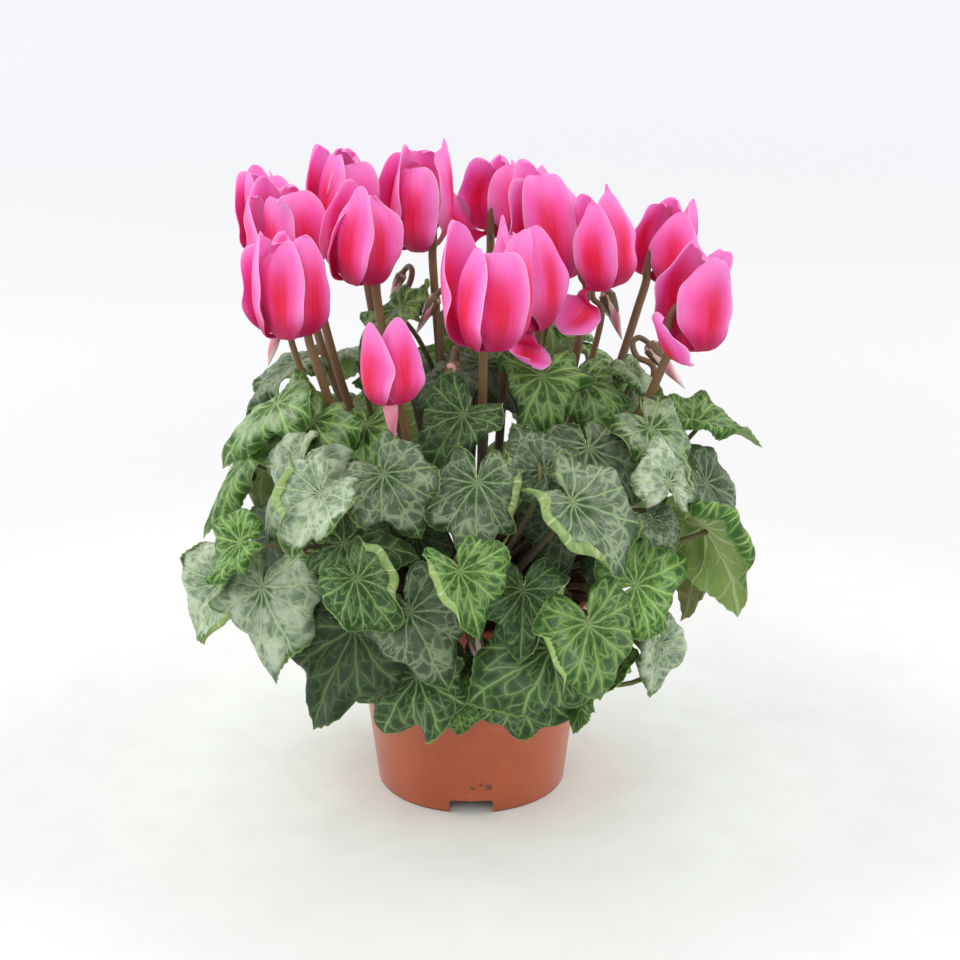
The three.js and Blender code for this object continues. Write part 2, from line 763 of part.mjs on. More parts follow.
const asBloom = ([x, y, z, height, spread, leanTo, lean, spin, twist], number) => {
  // Its own frame has the gap that the stalk comes through at +X, turned to the plant's middle.
  const home = Math.atan2(-y, -x) + spin * RAD;
  const { loose = [-1, 0, 1], angles = PETAL_ANGLES, nose = 0 } = BLOOM_EXTRAS[number + 1] ?? {};
  const petals = angles.map((angle, index) => ({
    angle,
    lean: draw(-6, 5) + (index === loose[0] ? loose[1] : 0),
    tall: draw(0.88, 1.04) * (index === loose[0] ? loose[2] : 1),
  }));
  const axis = heading(leanTo + 90, 0);
  const tilt = new THREE.Quaternion().setFromAxisAngle(axis, lean * RAD);
  const turn = new THREE.Quaternion().setFromAxisAngle(v3(0, 0, 1), home);
  const quaternion = tilt.multiply(turn);
  return { at: v3(x, y, z), height, spread, twist, petals, nose, quaternion };
};

// How a stalk hooks over to the calyx, as [towards the gap, up] from the bloom's or bud's middle.
const BLOOM_HOOK = [
  [10.2, -9],
  [10.2, 5],
  [9, 15],
  [5, 20.2],
  [1, 18],
  [0, 14.5],
];
const BUD_HOOK = [
  [9, -12],
  [8.6, 1],
  [6, 7],
  [2, 7.2],
  [0.2, 3.5],
  [0, 0.5],
];
const LOW_BUD_HOOK = [
  [24, -1],
  [13, 3.6],
  [6, 5.2],
  [1.6, 4.4],
  [0, 0.5],
];

function stalkCurve(root, hook) {
  const start = root.at.clone().addScaledVector(root.out, 9);
  const knee = start.clone().lerp(hook[0], 0.5);
  knee.addScaledVector(v3(hook[0].x - start.x, hook[0].y - start.y, 0), 0.17);
  return new THREE.CatmullRomCurve3([root.at, start, knee, ...hook], false, "catmullrom", 0.5);
}

// Where a flower stalk or a bud's has its rings: a few on the way up, and one at each point of the hook.
function stalkStations(curve) {
  const spans = curve.points.length - 1;
  const marks = [0, 1, 1.5, 2, 2.5, 3];
  for (let i = 4; i <= spans; i++) marks.push(i);
  return marks.map((mark) => mark / spans);
}

// The calyx: a small cup of sepals on the end of the stalk.
function calyxSolid(radius, length) {
  return solidOf(
    turned(
      [
        [0, length],
        [radius * 0.6, length * 0.9],
        [radius, length * 0.35],
        [radius * 0.8, 0],
        [0, 0],
      ],
      5,
    ),
  );
}

const BUD_SHAPE = [
  [0, 1],
  [0.8, 0.6],
  [1, -0.12],
  [0.86, -0.32],
  [0.5, -0.62],
  [0.16, -0.92],
  [0, -1],
];

function budSolid(length) {
  const radius = length * 0.15;
  const profile = BUD_SHAPE.map(([r, z]) => [r * radius, z > 0 ? z * 2.4 : z * length]);
  return solidOf(turned(profile, 5));
}

const placed = (solid, at, quaternion) => {
  const matrix = new THREE.Matrix4().compose(at, quaternion, v3(1, 1, 1));
  return solid.transform(matrix.toArray());
};

const inFrame = (hook, at, quaternion) =>
  hook.map(([side, up]) => v3(side, 0, up).applyQuaternion(quaternion).add(at));

// Materials.
const finish = (color, roughness) =>
  new THREE.MeshStandardMaterial({ color, roughness, metalness: 0 });
const TERRACOTTA = finish(0xc2694a, 0.55);
const PEAT = finish(0x3a2b20, 0.95);
const TUBER_SKIN = finish(0x5b4433, 0.85);
const LEAF = finish(0x4a6b45, 0.5);
const STALK_SKIN = finish(0x6b4a38, 0.5);
const PETAL_PINK = finish(0xf0508c, 0.5);
const BUD_PINK = finish(0xe3b3ac, 0.55);

function piece(name, geometry, material) {
  const mesh = new THREE.Mesh(geometry, material);
  mesh.name = name;
  return mesh;
}

// The model.
const cyclamen = new THREE.Group();
cyclamen.add(piece("pot", geometryOf(makePot()), TERRACOTTA));
cyclamen.add(piece("compost", geometryOf(makeSoil()), PEAT));
cyclamen.add(piece("tuber", geometryOf(makeTuber(0)), TUBER_SKIN));

// Flower stalks stand on the crown in two rings, each evenly spaced and in order of bearing.
const FLOWER_RINGS = [
  { radius: 5.4, count: 7 },
  { radius: 11.8, count: 14 },
];
const two = (number) => String(number).padStart(2, "0");

function flowerRoots(rows) {
  const all = rows.map(([x, y], i) => ({
    i,
    reach: Math.hypot(x, y),
    bearing: Math.atan2(x, -y) / RAD,
  }));
  all.sort((a, b) => a.reach - b.reach);
  const roots = [];
  for (const { radius, count } of FLOWER_RINGS) {
    const ring = all.splice(0, count).sort((a, b) => a.bearing - b.bearing);
    const step = 360 / count;
    const drift = ring.reduce((sum, { bearing }, k) => sum + bearing - k * step, 0) / count;
    ring.forEach(({ i }, k) => {
      roots[i] = crownSpot(drift + k * step, radius);
    });
  }
  return roots;
}

const roots = flowerRoots([...BLOOMS, ...BUDS, LOW_BUDS[0]]);
const STILL = new THREE.Quaternion();

BLOOMS.map(asBloom).forEach((bloom, i) => {
  const corolla = piece(`bloom_${two(i + 1)}`, geometryOf(corollaSolid(bloom)), PETAL_PINK);
  corolla.position.copy(bloom.at);
  corolla.quaternion.copy(bloom.quaternion);
  cyclamen.add(corolla);
  const hook = inFrame(BLOOM_HOOK, bloom.at, bloom.quaternion);
  const curve = stalkCurve(roots[i], hook);
  const cup = placed(calyxSolid(3.8, 4.4), v3(0, 0, TUBE.length + GAP), STILL);
  const calyx = placed(cup, bloom.at, bloom.quaternion);
  const stalk = union([solidOf(stem(curve, STALK, roots[i].out, stalkStations(curve))), calyx]);
  cyclamen.add(piece(`flower_stalk_${two(i + 1)}`, geometryOf(stalk), STALK_SKIN));
  fill(curve.getPoints(72), BALL.stalk);
  bloom.petals.forEach((_, index) => {
    for (const t of [0.1, 0.28, 0.46, 0.64, 0.82, 0.97]) {
      const spots = [-0.9, -0.3, 0.3, 0.9].map((across) => petalPoint(bloom, index, t, across));
      spots.forEach((p) => p.applyQuaternion(bloom.quaternion).add(bloom.at));
      fill(spots, BALL.petal);
    }
  });
});

function growBud([x, y, z, length, bearing, slope], root, bend) {
  const at = v3(x, y, z);
  const down = heading(bearing, -slope);
  const up = down.clone().negate();
  const gap = v3(-x, -y, 0).normalize();
  const side = gap.addScaledVector(up, -gap.dot(up)).normalize();
  const frame = new THREE.Matrix4().makeBasis(side, up.clone().cross(side), up);
  const quaternion = new THREE.Quaternion().setFromRotationMatrix(frame);
  const curve = stalkCurve(root, inFrame(bend, at, quaternion));
  fill(curve.getPoints(72), BALL.stalk);
  fill([0.2, 0.5, 0.8, 1].map((t) => at.clone().addScaledVector(down, length * t)), BALL.petal);
  const stalk = stem(curve, BUD_STALK, root.out, stalkStations(curve));
  return union([solidOf(stalk), placed(budSolid(length), at, quaternion)]);
}

BUDS.forEach((row, i) => {
  const bud = growBud(row, roots[BLOOMS.length + i], BUD_HOOK);
  cyclamen.add(piece(`bud_${two(i + 1)}`, geometryOf(bud), BUD_PINK));
});
const lowBuds = LOW_BUDS.map((row) => growBud(row, roots[roots.length - 1], LOW_BUD_HOOK));
cyclamen.add(piece("buds_front_low", geometryOf(union(lowBuds)), BUD_PINK));

const PETIOLE_STATIONS = [0, 0.32, 0.66, 1];
const backSprays = BACK_ROOTS.map((_, number) => backSpray(number));
const sprays = [...FRONT_SPRAYS, ...backSprays].map(({ name, root, leaves }) => ({
  name,
  foot: crownSpot(...root),
  leaves: leaves.map(asLeaf),
  solids: [],
}));
// The leaves that hang deep inside take the room that the others leave.
for (const deep of [false, true]) {
  for (const { name, foot, leaves, solids } of sprays) {
    leaves.forEach((leaf) => {
      if (leaf.deep !== deep) return;
      const grown = settle(leaf, foot, name);
      const facing = v3().setFromMatrixColumn(grown.frame, 2);
      fill(grown.feelers, BALL.blade, name);
      fill(grown.along, BALL.petiole, name);
      solids.push(bladeSolid(leaf, grown.frame));
      solids.push(solidOf(stem(grown.curve, PETIOLE, foot.out, PETIOLE_STATIONS, facing)));
    });
  }
}
for (const { name, solids } of sprays) {
  cyclamen.add(piece(name, geometryOf(union(solids)), LEAF));
}

export default cyclamen;
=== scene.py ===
"""A potted cyclamen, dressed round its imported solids: the finer plant and pot, materials, light, camera.

The plant is grown by the same rules and from the same named values as in part.mjs, in millimetres,
so that each fine piece lies where the solid lies that it stands for. Blender's units are metres.
The front of the plant faces -Y, and its right-hand side is +X.
"""

import math
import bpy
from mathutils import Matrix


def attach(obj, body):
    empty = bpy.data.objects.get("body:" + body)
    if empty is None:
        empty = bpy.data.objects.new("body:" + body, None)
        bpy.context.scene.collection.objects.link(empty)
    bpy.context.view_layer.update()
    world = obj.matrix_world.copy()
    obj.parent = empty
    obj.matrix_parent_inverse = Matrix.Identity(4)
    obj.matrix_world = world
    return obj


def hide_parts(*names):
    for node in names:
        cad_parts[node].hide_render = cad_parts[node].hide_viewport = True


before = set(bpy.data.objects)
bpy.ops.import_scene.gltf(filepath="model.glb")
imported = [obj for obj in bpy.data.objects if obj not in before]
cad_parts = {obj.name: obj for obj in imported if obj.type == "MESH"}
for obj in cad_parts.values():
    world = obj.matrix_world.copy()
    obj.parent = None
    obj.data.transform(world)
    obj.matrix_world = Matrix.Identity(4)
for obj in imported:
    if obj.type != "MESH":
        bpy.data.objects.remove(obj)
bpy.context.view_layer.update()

from types import SimpleNamespace

import bpy
import numpy as np
from mathutils import Matrix, Vector, noise

MM = 0.001
RAD = math.pi / 180

# Driving dimensions in millimetres. Those that the solids have are as in part.mjs.
GAP = 0.3
POT = dict(rim=60, foot=46, height=100, wall=1.8, collar=15)
POT.update(proud=1.6, step=1.2, ring=3, recess=3, pad=12, floor=2.2, edge=0.8)
DRAIN = {"count": 3, "width": 21, "height": 7, "depth": 11, "corner": 1.8}
SOIL = {"edge": 86, "shoulder": 88.6, "middle": 91, "crumbs": 230}
TUBER = {"radius": 27, "height": 15, "middle": 87}
JOINT = 3.8
REACH_BACK = 163
PETAL_WIDTH = 12.4
TUBE = {"mouth": 6.6, "top": 3.4, "length": 11}
# The calyx of a bloom: radius and length of its cup, then radius, length and spread of its sepals.
CUP = (3.8, 4.4)
SEPALS = (3.5, 6, 1.45)

# Radii at the foot and the neck of each kind of stem.
STALK = (2.2, 1.85)
BUD_STALK = (1.7, 1.3)
PETIOLE = (1.6, 1.15)

# Half the thickness of a blade and a petal in their middle.
BLADE_HALF = 0.36
PETAL_HALF = 0.26

# How many sides each round form has, and how many points each kind of stem has along it.
SIDES = {"pot": 144, "compost": 120, "tuber": 72, "tube": 40, "bud": 24, "cup": 20}
SIDES.update({"stalk": 10, "petiole": 8})
LENGTHS = {"stalk": 76, "bud": 70, "petiole": 22}


def smooth(low, high, x):
    t = np.clip((np.asarray(x, float) - low) / (high - low), 0, 1)
    return t * t * (3 - 2 * t)


# The draws that place the plant are those of part.mjs, in the same order.
growth = {"seed": 20277}


def draw(low, high):
    growth["seed"] = (growth["seed"] * 1664525 + 1013904223) % 4294967296
    return low + (high - low) * growth["seed"] / 4294967296


# The fine detail has draws of its own.
chance = np.random.default_rng(11)


def heading(bearing, lift):
    """The unit vector at a bearing (0 faces the front, 90 the right) and a lift."""
    b, k = bearing * RAD, lift * RAD
    return np.array([math.sin(b) * math.cos(k), -math.cos(b) * math.cos(k), math.sin(k)])


def unit(v):
    return v / np.linalg.norm(v)


def turn_about(axis, angle):
    return np.array(Matrix.Rotation(angle, 3, Vector(axis)))


def wall_radius(z):
    return POT["foot"] + (POT["rim"] - POT["proud"] - POT["foot"]) * z / POT["height"]


def crown_spot(bearing, r):
    """A place on the tuber's crown just clear of its skin, and the way the skin faces there."""
    flat = heading(bearing, 0)
    rise = TUBER["height"] * math.sqrt(1 - (r / TUBER["radius"]) ** 2)
    slope = (TUBER["height"] / TUBER["radius"]) ** 2 * (r / rise)
    out = unit(np.array([flat[0] * slope, flat[1] * slope, 1]))
    return np.array([flat[0] * r, flat[1] * r, TUBER["middle"] + rise]) + GAP * out, out


# Balls that what grows already fills. A leaf is moved until it is clear of them.
BALL = {"blade": 2.4, "petiole": 1.9, "stalk": 2.4, "petal": 3}
filled = {"at": np.zeros((0, 3)), "radius": np.zeros(0), "spray": np.zeros(0, int)}
# How far leaves keep off the rim, and the room over the soil, which is higher further out.
KEEP = {"rim": 2.6, "height": 91, "flat": 30, "slope": 0.38, "most": 12}


def fill(points, radius, spray=-1):
    points = np.asarray(points, float).reshape(-1, 3)
    filled["at"] = np.vstack([filled["at"], points])
    filled["radius"] = np.append(filled["radius"], np.full(len(points), float(radius)))
    filled["spray"] = np.append(filled["spray"], np.full(len(points), spray))


def is_clear(points, radius, at, radii):
    across = np.hypot(points[:, 0], points[:, 1])
    outside = across > wall_radius(np.minimum(points[:, 2], POT["height"])) + radius + KEEP["rim"]
    lowest = KEEP["height"] + np.clip((across - KEEP["flat"]) * KEEP["slope"], 0, KEEP["most"])
    if not np.all(outside | (points[:, 2] >= lowest + radius)):
        return False
    margin = radius + max(BALL.values())
    near = np.all((at > points.min(0) - margin) & (at < points.max(0) + margin), axis=1)
    apart = points[:, None, :] - at[near][None]
    return bool(np.all(np.einsum("ijk,ijk->ij", apart, apart) > (radii[near] + radius) ** 2))


# Leaves. A blade is heart-shaped, and the stalk meets it at the notch of the heart.
def outline(angle):
    a = np.abs(angle)
    heart = 0.48 + 0.07 * np.cos(a * RAD) + 0.16 * np.exp(-a / 14)
    notch = 1 - 0.6 * smooth(140, 178, a)
    return heart * notch * (1 + 0.035 * np.cos(7 * angle * RAD))


def blade_shape(leaf, angle, share, lift=0.0):
    """The blade in its own frame: x to the tip, y across, z out of the upper side."""
    size = leaf["size"]
    r = share * outline(angle) * size
    x = r * np.cos(angle * RAD)
    y = r * np.sin(angle * RAD)
    soft = 0.1 * size
    z = leaf["fold"] * (np.hypot(y, soft) - soft) + lift
    z = z + 0.045 * size * share * share * leaf["wave"] * np.sin(4 * angle * RAD + leaf["phase"])
    roll = leaf["roll"] / (0.5 * size)
    if roll:
        s, c = np.sin(roll * y), np.cos(roll * y)
        y, z = s / roll + z * s, z * c - (1 - c) / roll
    curl = np.where(x > 0, leaf["curl"], leaf["curl"] * 0.45) / (0.7 * size)
    s, c = np.sin(curl * x), np.cos(curl * x)
    return np.stack([s / curl + z * s, y + 0 * s, z * c - (1 - c) / curl], axis=-1)


def blade_frame(leaf):
    up = heading(leaf["bearing"], leaf["lift"])
    down = heading(leaf["bearing"], leaf["lift"] - 90)
    b, turn = leaf["bearing"] * RAD, leaf["turn"] * RAD
    tip = down * math.cos(turn) + np.array([math.cos(b), math.sin(b), 0]) * math.sin(turn)
    return np.array([tip, np.cross(up, tip), up])


def blade_points(leaf, axes, angle, share, lift=0.0):
    return blade_shape(leaf, angle, share, lift) @ axes + leaf["at"]


def petiole_of(leaf, root, axes, bend):
    at, out = root
    joint = blade_points(leaf, axes, np.array(0.0), JOINT / (outline(0.0) * leaf["size"]))
    span = np.linalg.norm(at - joint)
    start = at + out * span * 0.35 + bend
    end = joint - axes[2] * span * 0.22 - axes[0] * span * 0.1 + bend
    return at, start, end, joint


def bezier(curve, t):
    t = np.asarray(t, float)[:, None]
    a, b, c, d = curve
    u = 1 - t
    return u**3 * a + 3 * u * u * t * b + 3 * u * t * t * c + t**3 * d


# Where a blade feels for what is in its way: shares of the way out, each with its count of points.
FEEL = [(0.22, 6), (0.42, 12), (0.62, 18), (0.82, 24), (1, 32)]
FEEL_ANGLES = np.concatenate([[0.0]] + [REACH_BACK * np.linspace(-1, 1, n) for _, n in FEEL])
FEEL_SHARES = np.concatenate([[0.0]] + [np.full(n, float(share)) for share, n in FEEL])
# Where a leaf's stalk feels, as shares of its length.
ALONG = np.arange(2, 43) / 44
# How leaves are moved: by steps along a spiral in three dimensions, then bowed, then made smaller.
STEPS = {"count": 300, "reach": 24, "turn": 137.508, "bows": 12, "bow_reach": [0, 8, 16, 24, 34]}
SHRINK = (1, 0.88, 0.76, 0.66)


def step_of(i):
    far = STEPS["reach"] * math.sqrt(i / STEPS["count"])
    rise = 1 - (2 * (i % 21)) / 20
    level = math.sqrt(1 - rise * rise)
    a = i * STEPS["turn"] * RAD
    return far * np.array([0.6 * level * math.cos(a), 1.5 * level * math.sin(a), 0.6 * rise])


def settle(leaf, root, spray):
    """Moves a leaf by the smallest step, and bows its stalk, until neither meets what is there."""
    axes = blade_frame(leaf)
    home = leaf["at"]
    near = leaf["size"] + 1.6 * STEPS["reach"] + 6
    close = np.linalg.norm(filled["at"] - home, axis=1) < near
    at, radii = filled["at"][close], filled["radius"][close]
    other = (filled["spray"] != spray) | (filled["radius"] == BALL["blade"])
    far_at, far_radii = filled["at"][other], filled["radius"][other]
    for share in SHRINK:
        leaf["size"] *= share
        leaf["at"] = np.zeros(3)
        blade = blade_points(leaf, axes, FEEL_ANGLES, FEEL_SHARES)
        for i in range(STEPS["count"]):
            leaf["at"] = home + step_of(i)
            if not is_clear(blade + leaf["at"], BALL["blade"], at, radii):
                continue
            for bow_reach in STEPS["bow_reach"]:
                for j in range(STEPS["bows"] if bow_reach else 1):
                    b = 2 * math.pi * j / STEPS["bows"]
                    bow = bow_reach * np.array([math.cos(b), math.sin(b), 0.25])
                    curve = petiole_of(leaf, root, axes, bow)
                    along = bezier(curve, ALONG)
                    if is_clear(along, BALL["petiole"], far_at, far_radii):
                        fill(blade + leaf["at"], BALL["blade"], spray)
                        fill(along, BALL["petiole"], spray)
                        return axes, curve
    raise RuntimeError(f"no room for a leaf of spray {spray}")


# The leaves that show from the front. By spray: its foot on the crown as bearing and distance, the
# look of each leaf (see LOOKS), and a row for each leaf: x, y, z of the notch; bearing and lift of
# the way the blade faces; turn of the tip from straight downhill; length; fold of the two halves;
# curl of the tip; roll of the sides. A last 1 marks a leaf that hangs deep inside.
FRONT_SPRAYS = {
    "left_outer": ((-62, 24), "ssgd", [
        (-92, -92, 136, -38, 22, 10, 56, -0.1, 0.4, 0.3),
        (-116, -50, 121, -35, 22, -36, 44, 0.25, 0.5, 0),
        (-97, -78, 151, -50, 36, -50, 36, 0.35, 0.4, 0),
        (-92, -48, 144, -58, 28, 0, 44, 0.1, 0.4, 0.2, 1),
    ]),
    "left_middle": ((-40, 24), "hdgd", [
        (-51, -104, 122, -24, 26, -18, 62, 0.15, 0.4, 0.2),
        (-57, -92, 156, -15, 66, 100, 42, 0.2, 0.4, 0.2),
        (-55, -98, 136, -30, 42, -70, 46, 0.5, 0.4, 0),
        (-50, -116, 152, 10, 34, 35, 38, 0.5, 0.7, 0),
    ]),
    "front_left_low": ((-17, 24), "dkgd", [
        (-23, -104, 99, -20, 26, -32, 48, 0.15, 0.7, 0.2),
        (-21, -112, 142, -8, 26, 28, 48, -0.05, 0.5, 0.3),
        (-6, -96, 82, -10, 14, -55, 26, 0.1, 0.3, 0.3),
        (-5, -76, 102, 2, 16, 5, 38, 0.1, 0.4, 0.2, 1),
    ]),
    "front_right_low": ((28, 24), "ddgd", [
        (36, -108, 114, 8, 36, -62, 56, 0.1, 0.5, 0.3),
        (19, -94, 87, 10, 14, 56, 46, 0.05, 0.4, 0.4),
        (64, -84, 87, -95, 49, 0, 40, 0.4, 0.4, 0),
        (22, -84, 119, 6, 14, 20, 44, 0.1, 0.4, 0.2, 1),
    ]),
    "right_middle": ((52, 24), "ggsd", [
        (73, -94, 138, 30, 24, 100, 46, 0.05, 0.3, 0.3),
        (52, -106, 129, 20, 22, 10, 47, 0.1, 0.5, 0.35),
        (79, -86, 114, 44, 8, -4, 34, 0.4, 0.3, 0),
        (35, -66, 141, 16, 20, 0, 44, 0.1, 0.4, 0.2, 1),
    ]),
    "right_outer": ((76, 24), "gkk", [
        (106, -56, 152, 140, 28, -20, 58, 0.3, 0.3, 0),
        (109, -34, 162, 62, 30, 22, 50, 0.3, 0.4, 0.1),
        (80, -86, 166, 44, 44, 24, 26, 0.3, 0.4, 0),
    ]),
    "front_middle": ((6, 24), "kdkd", [
        (44, -102, 178, 30, 42, 30, 52, 0.3, 0.6, 0.2),
        (23, -108, 141, 8, 22, -5, 38, 0.4, 0.4, 0),
        (41, -86, 155, 8, 30, -12, 42, 0.1, 0.4, 0.3),
        (55, -62, 134, 24, 20, -10, 44, 0.1, 0.4, 0.2, 1),
    ]),
    "front_upper": ((-13, 17.5), "kgdd", [
        (3, -98, 187, 4, 32, -4, 47, -0.1, 0.4, 0.5),
        (-3, -112, 154, 18, 34, 12, 38, 0.5, 0.4, 0),
        (-8, -70, 204, -14, 50, -28, 38, 0.4, 0.6, 0),
        (-23, -82, 152, -8, 20, 10, 44, 0.1, 0.4, 0.2, 1),
    ]),
    "left_shoulder": ((-78, 17.5), "sww", [
        (-75, -74, 184, -44, 36, -14, 50, -0.1, 0.5, 0.35),
        (-75, -50, 200, -50, 52, 10, 42, 0.1, 0.5, 0.4),
        (-80, -16, 203, -78, 60, -12, 50, 0.15, 0.6, 0.5),
    ]),
    "left_upper": ((-45, 17.5), "ksdg", [
        (-37, -90, 189, -12, 40, 38, 42, 0.3, 0.6, 0),
        (-65, -82, 178, -30, 45, -15, 40, 0.5, 0.5, 0),
        (-64, -70, 140, -36, 20, -20, 44, 0.1, 0.4, 0.2, 1),
        (-50, -56, 200, -35, 60, 25, 32, 0.35, 0.5, 0.1),
    ]),
    "right_upper": ((20, 17.5), "kkg", [
        (52, -74, 193, 18, 50, 4, 56, -0.1, 0.5, 0.5),
        (35, -92, 190, 2, 30, -150, 32, 0.1, 0.3, 0.2),
        (32, -42, 216, 12, 44, 5, 34, 0.1, 0.4, 0.3),
    ]),
    "right_shoulder": ((53, 17.5), "smg", [
        (82, -76, 174, 36, 34, 160, 48, -0.1, 0.4, 0.4),
        (73, -58, 191, 42, 48, 8, 42, 0.3, 0.6, 0.2),
        (102, -30, 183, 80, 84, 0, 42, 0.5, 0.3, 0),
    ]),
    "right_top": ((86, 17.5), "gmg", [
        (52, -10, 217, 30, 64, -8, 48, 0.1, 0.5, 0.35),
        (80, 6, 206, 70, 58, -20, 36, 0.2, 0.5, 0.3),
        (86, -22, 197, 70, 55, 165, 28, 0.4, 0.3, 0),
    ]),
    "top": ((184, 17.5), "gmm", [
        (-34, 30, 234, -70, 58, -20, 48, 0.3, 0.5, 0.3),
        (-9, 6, 206, -10, 70, -30, 36, 0.3, 0.4, 0.2),
        (14, 36, 204, 20, 60, 20, 40, 0.3, 0.4, 0.2),
    ]),
}

# The leaves round the back follow one rule: each spray has one leaf in each tier of the dome.
# A tier: reach, height, lift, length, swing of the bearing.
BACK = (98, 262)
BACK_ROOTS = [(98, 24), (118, 17.5), (140, 24), (182, 24), (216, 17.5), (224, 24), (258, 24)]
BACK_LOOKS = "mgskdgm"
TIERS = [(112, 112, 14, 54, -5), (112, 158, 34, 52, 5), (76, 200, 58, 50, -4)]
TOP_TIER = (34, 216, 76, 46, 2)


def back_spray(number):
    middle = BACK[0] + (BACK[1] - BACK[0]) * number / (len(BACK_ROOTS) - 1)
    rows = []
    for reach, height, lift, size, swing in TIERS + ([TOP_TIER] if number % 3 == 1 else []):
        bearing = middle + swing + draw(-4, 4)
        out = heading(bearing, 0) * (reach + draw(-7, 7))
        row = [out[0], out[1], height + draw(-8, 8), bearing + draw(-14, 14)]
        row += [lift + draw(-10, 10), draw(-24, 24), size * draw(0.88, 1.1)]
        row += [draw(-0.1, 0.4), draw(0.4, 0.9), draw(0.1, 0.4)]
        rows.append(row)
    looks = "".join(BACK_LOOKS[(number + 2 * k) % len(BACK_LOOKS)] for k in range(len(rows)))
    return BACK_ROOTS[number], looks, rows


# How silver and how bright a leaf is: pale silver, dark grey, bright green, dark green, marbled, and
# a dark green that lies in shade, painted darker still as shade, and bright green with a silver heart.
LOOKS = {"s": (0.95, 0.6), "k": (0.7, 0.12), "g": (0.1, 0.85), "d": (0.22, 0.15), "m": (0.45, 0.5)}
LOOKS.update({"h": (0.2, 0.2), "w": (0.28, 0.8)})


def as_leaf(row, look):
    keys = ("bearing", "lift", "turn", "size", "fold", "curl", "roll")
    leaf = dict(zip(keys, row[3:10]), at=np.array(row[:3], float), deep=len(row) > 10)
    leaf["wave"] = draw(0.6, 1.4)
    leaf["phase"] = draw(0, 6.28)
    leaf["look"] = look
    return leaf


# Blooms. Each row: x, y, z of the mouth; height; spread; the bearing the bloom leans to and by how
# much; spin of its stalk's side from the plant's middle; twist of the petals.
BLOOMS = [
    (-93, 41, 255, 42, 0.88, -90, 8, 0, 20),
    (-84, 8, 253, 43, 0.94, -60, 8, 10, 20),
    (-82, -38, 237, 47, 0.94, -40, 3, -8, 20),
    (-60, 32, 258, 51, 0.96, 20, 2, 12, 18),
    (-52, -13, 256, 44, 0.92, 60, 8, -10, 22),
    (-25, 34, 260, 49, 0.98, 10, 3, 8, 18),
    (13, 66, 260, 37, 0.9, 0, 8, -10, 22),
    (8, -58, 237, 51, 1.0, 0, 2, 5, 20),
    (25, -24, 236, 48, 0.84, 30, 4, 14, 20),
    (41, 28, 246, 56, 0.96, -90, 11, -5, 22),
    (60, -2, 250, 42, 0.88, -80, 8, -40, 24),
    (93, 44, 242, 38, 0.92, 60, 10, 0, 26),
    (100, -22, 227, 47, 0.96, 40, 6, 10, 20),
    (-35, -76, 218, 37, 0.86, -40, 4, 0, 12),
]
# Where each petal stands round its bloom, and the petals that have come loose: by bloom, the petal's
# place, how far it leans, and its share of length.
PETAL_ANGLES = (66, 126, 186, 246, 306)
LOOSE = {7: (4, 45, 0.8), 9: (1, 125, 0.36), 11: (0, 122, 0.62), 12: (1, 45, 0.9), 13: (0, 55, 0.85)}
# The young bloom has opened two petals and holds the others rolled in a nose.
YOUNG = {"bloom": 14, "angles": (171, 238), "nose": 22}

# Buds. Each row: x, y, z of the calyx; length; the bearing the bud points to, and its slope down.
BUDS = [
    (-34, 52, 242, 15, -120, 60),
    (-17, 2, 243, 20, -110, 62),
    (-8, -38, 222, 24, -20, 84),
    (66, 46, 234, 24, 60, 68),
    (86, 16, 216, 26, 70, 48),
    (-88, -12, 238, 24, -70, 74),
]
LOW_BUDS = [(-17, -84, 108, 20, -5, 76), (1, -88, 113, 22, 32, 60)]

# How a stalk hooks over to the calyx, as towards the gap and up from the bloom's or bud's middle.
BLOOM_HOOK = [(10.2, -9), (10.2, 5), (9, 15), (5, 20.2), (1, 18), (0, 14.5)]
BUD_HOOK = [(9, -12), (8.6, 1), (6, 7), (2, 7.2), (0.2, 3.5), (0, 0.5)]
LOW_BUD_HOOK = [(24, -1), (13, 3.6), (6, 5.2), (1.6, 4.4), (0, 0.5)]


def petal_line(bloom, t):
    r = np.array([6, 17 * bloom["spread"], 22 * bloom["spread"], 8.5 * bloom["spread"]])
    h = np.array([0.4, -1.5, 0.55 * bloom["height"], bloom["height"]])
    u = 1 - t
    weights = np.stack([u**3, 3 * u * u * t, 3 * u * t * t, t**3], axis=-1)
    return weights @ r, weights @ h


def petal_half_width(bloom, t):
    tip = np.clip((t - 0.6) / 0.4, 0, 1)
    rounding = np.sqrt(np.clip(1 - tip**2.4, 0, 1))
    return PETAL_WIDTH * bloom["spread"] * (0.22 + 0.78 * smooth(0, 0.55, t)) * rounding


def petal_points(bloom, petal, t, across, proud=0.0):
    """Points of a petal in the bloom's frame, moved out of its surface by proud."""
    r, h = petal_line(bloom, t)
    r2, h2 = petal_line(bloom, np.minimum(1, t + 0.01))
    r1, h1 = petal_line(bloom, np.maximum(0, t - 0.01))
    run = np.hypot(r2 - r1, h2 - h1)
    out_r, out_h = (h2 - h1) / run, -(r2 - r1) / run
    half = petal_half_width(bloom, t)
    twist = bloom["twist"] * RAD * smooth(0, 0.25, t)
    side = across * half * np.cos(twist)
    lean = across * half * np.sin(twist) - (across * half) ** 2 / (34 * bloom["spread"]) + proud
    a = petal["lean"] * RAD * smooth(0, 0.35, t)
    far = r + lean * out_r - TUBE["mouth"]
    high = (h + lean * out_h) * petal["tall"]
    reach = TUBE["mouth"] + far * np.cos(a) + high * np.sin(a)
    height = high * np.cos(a) - far * np.sin(a)
    c, s = math.cos(petal["angle"] * RAD), math.sin(petal["angle"] * RAD)
    return np.stack([reach * c - side * s, reach * s + side * c, height], axis=-1)


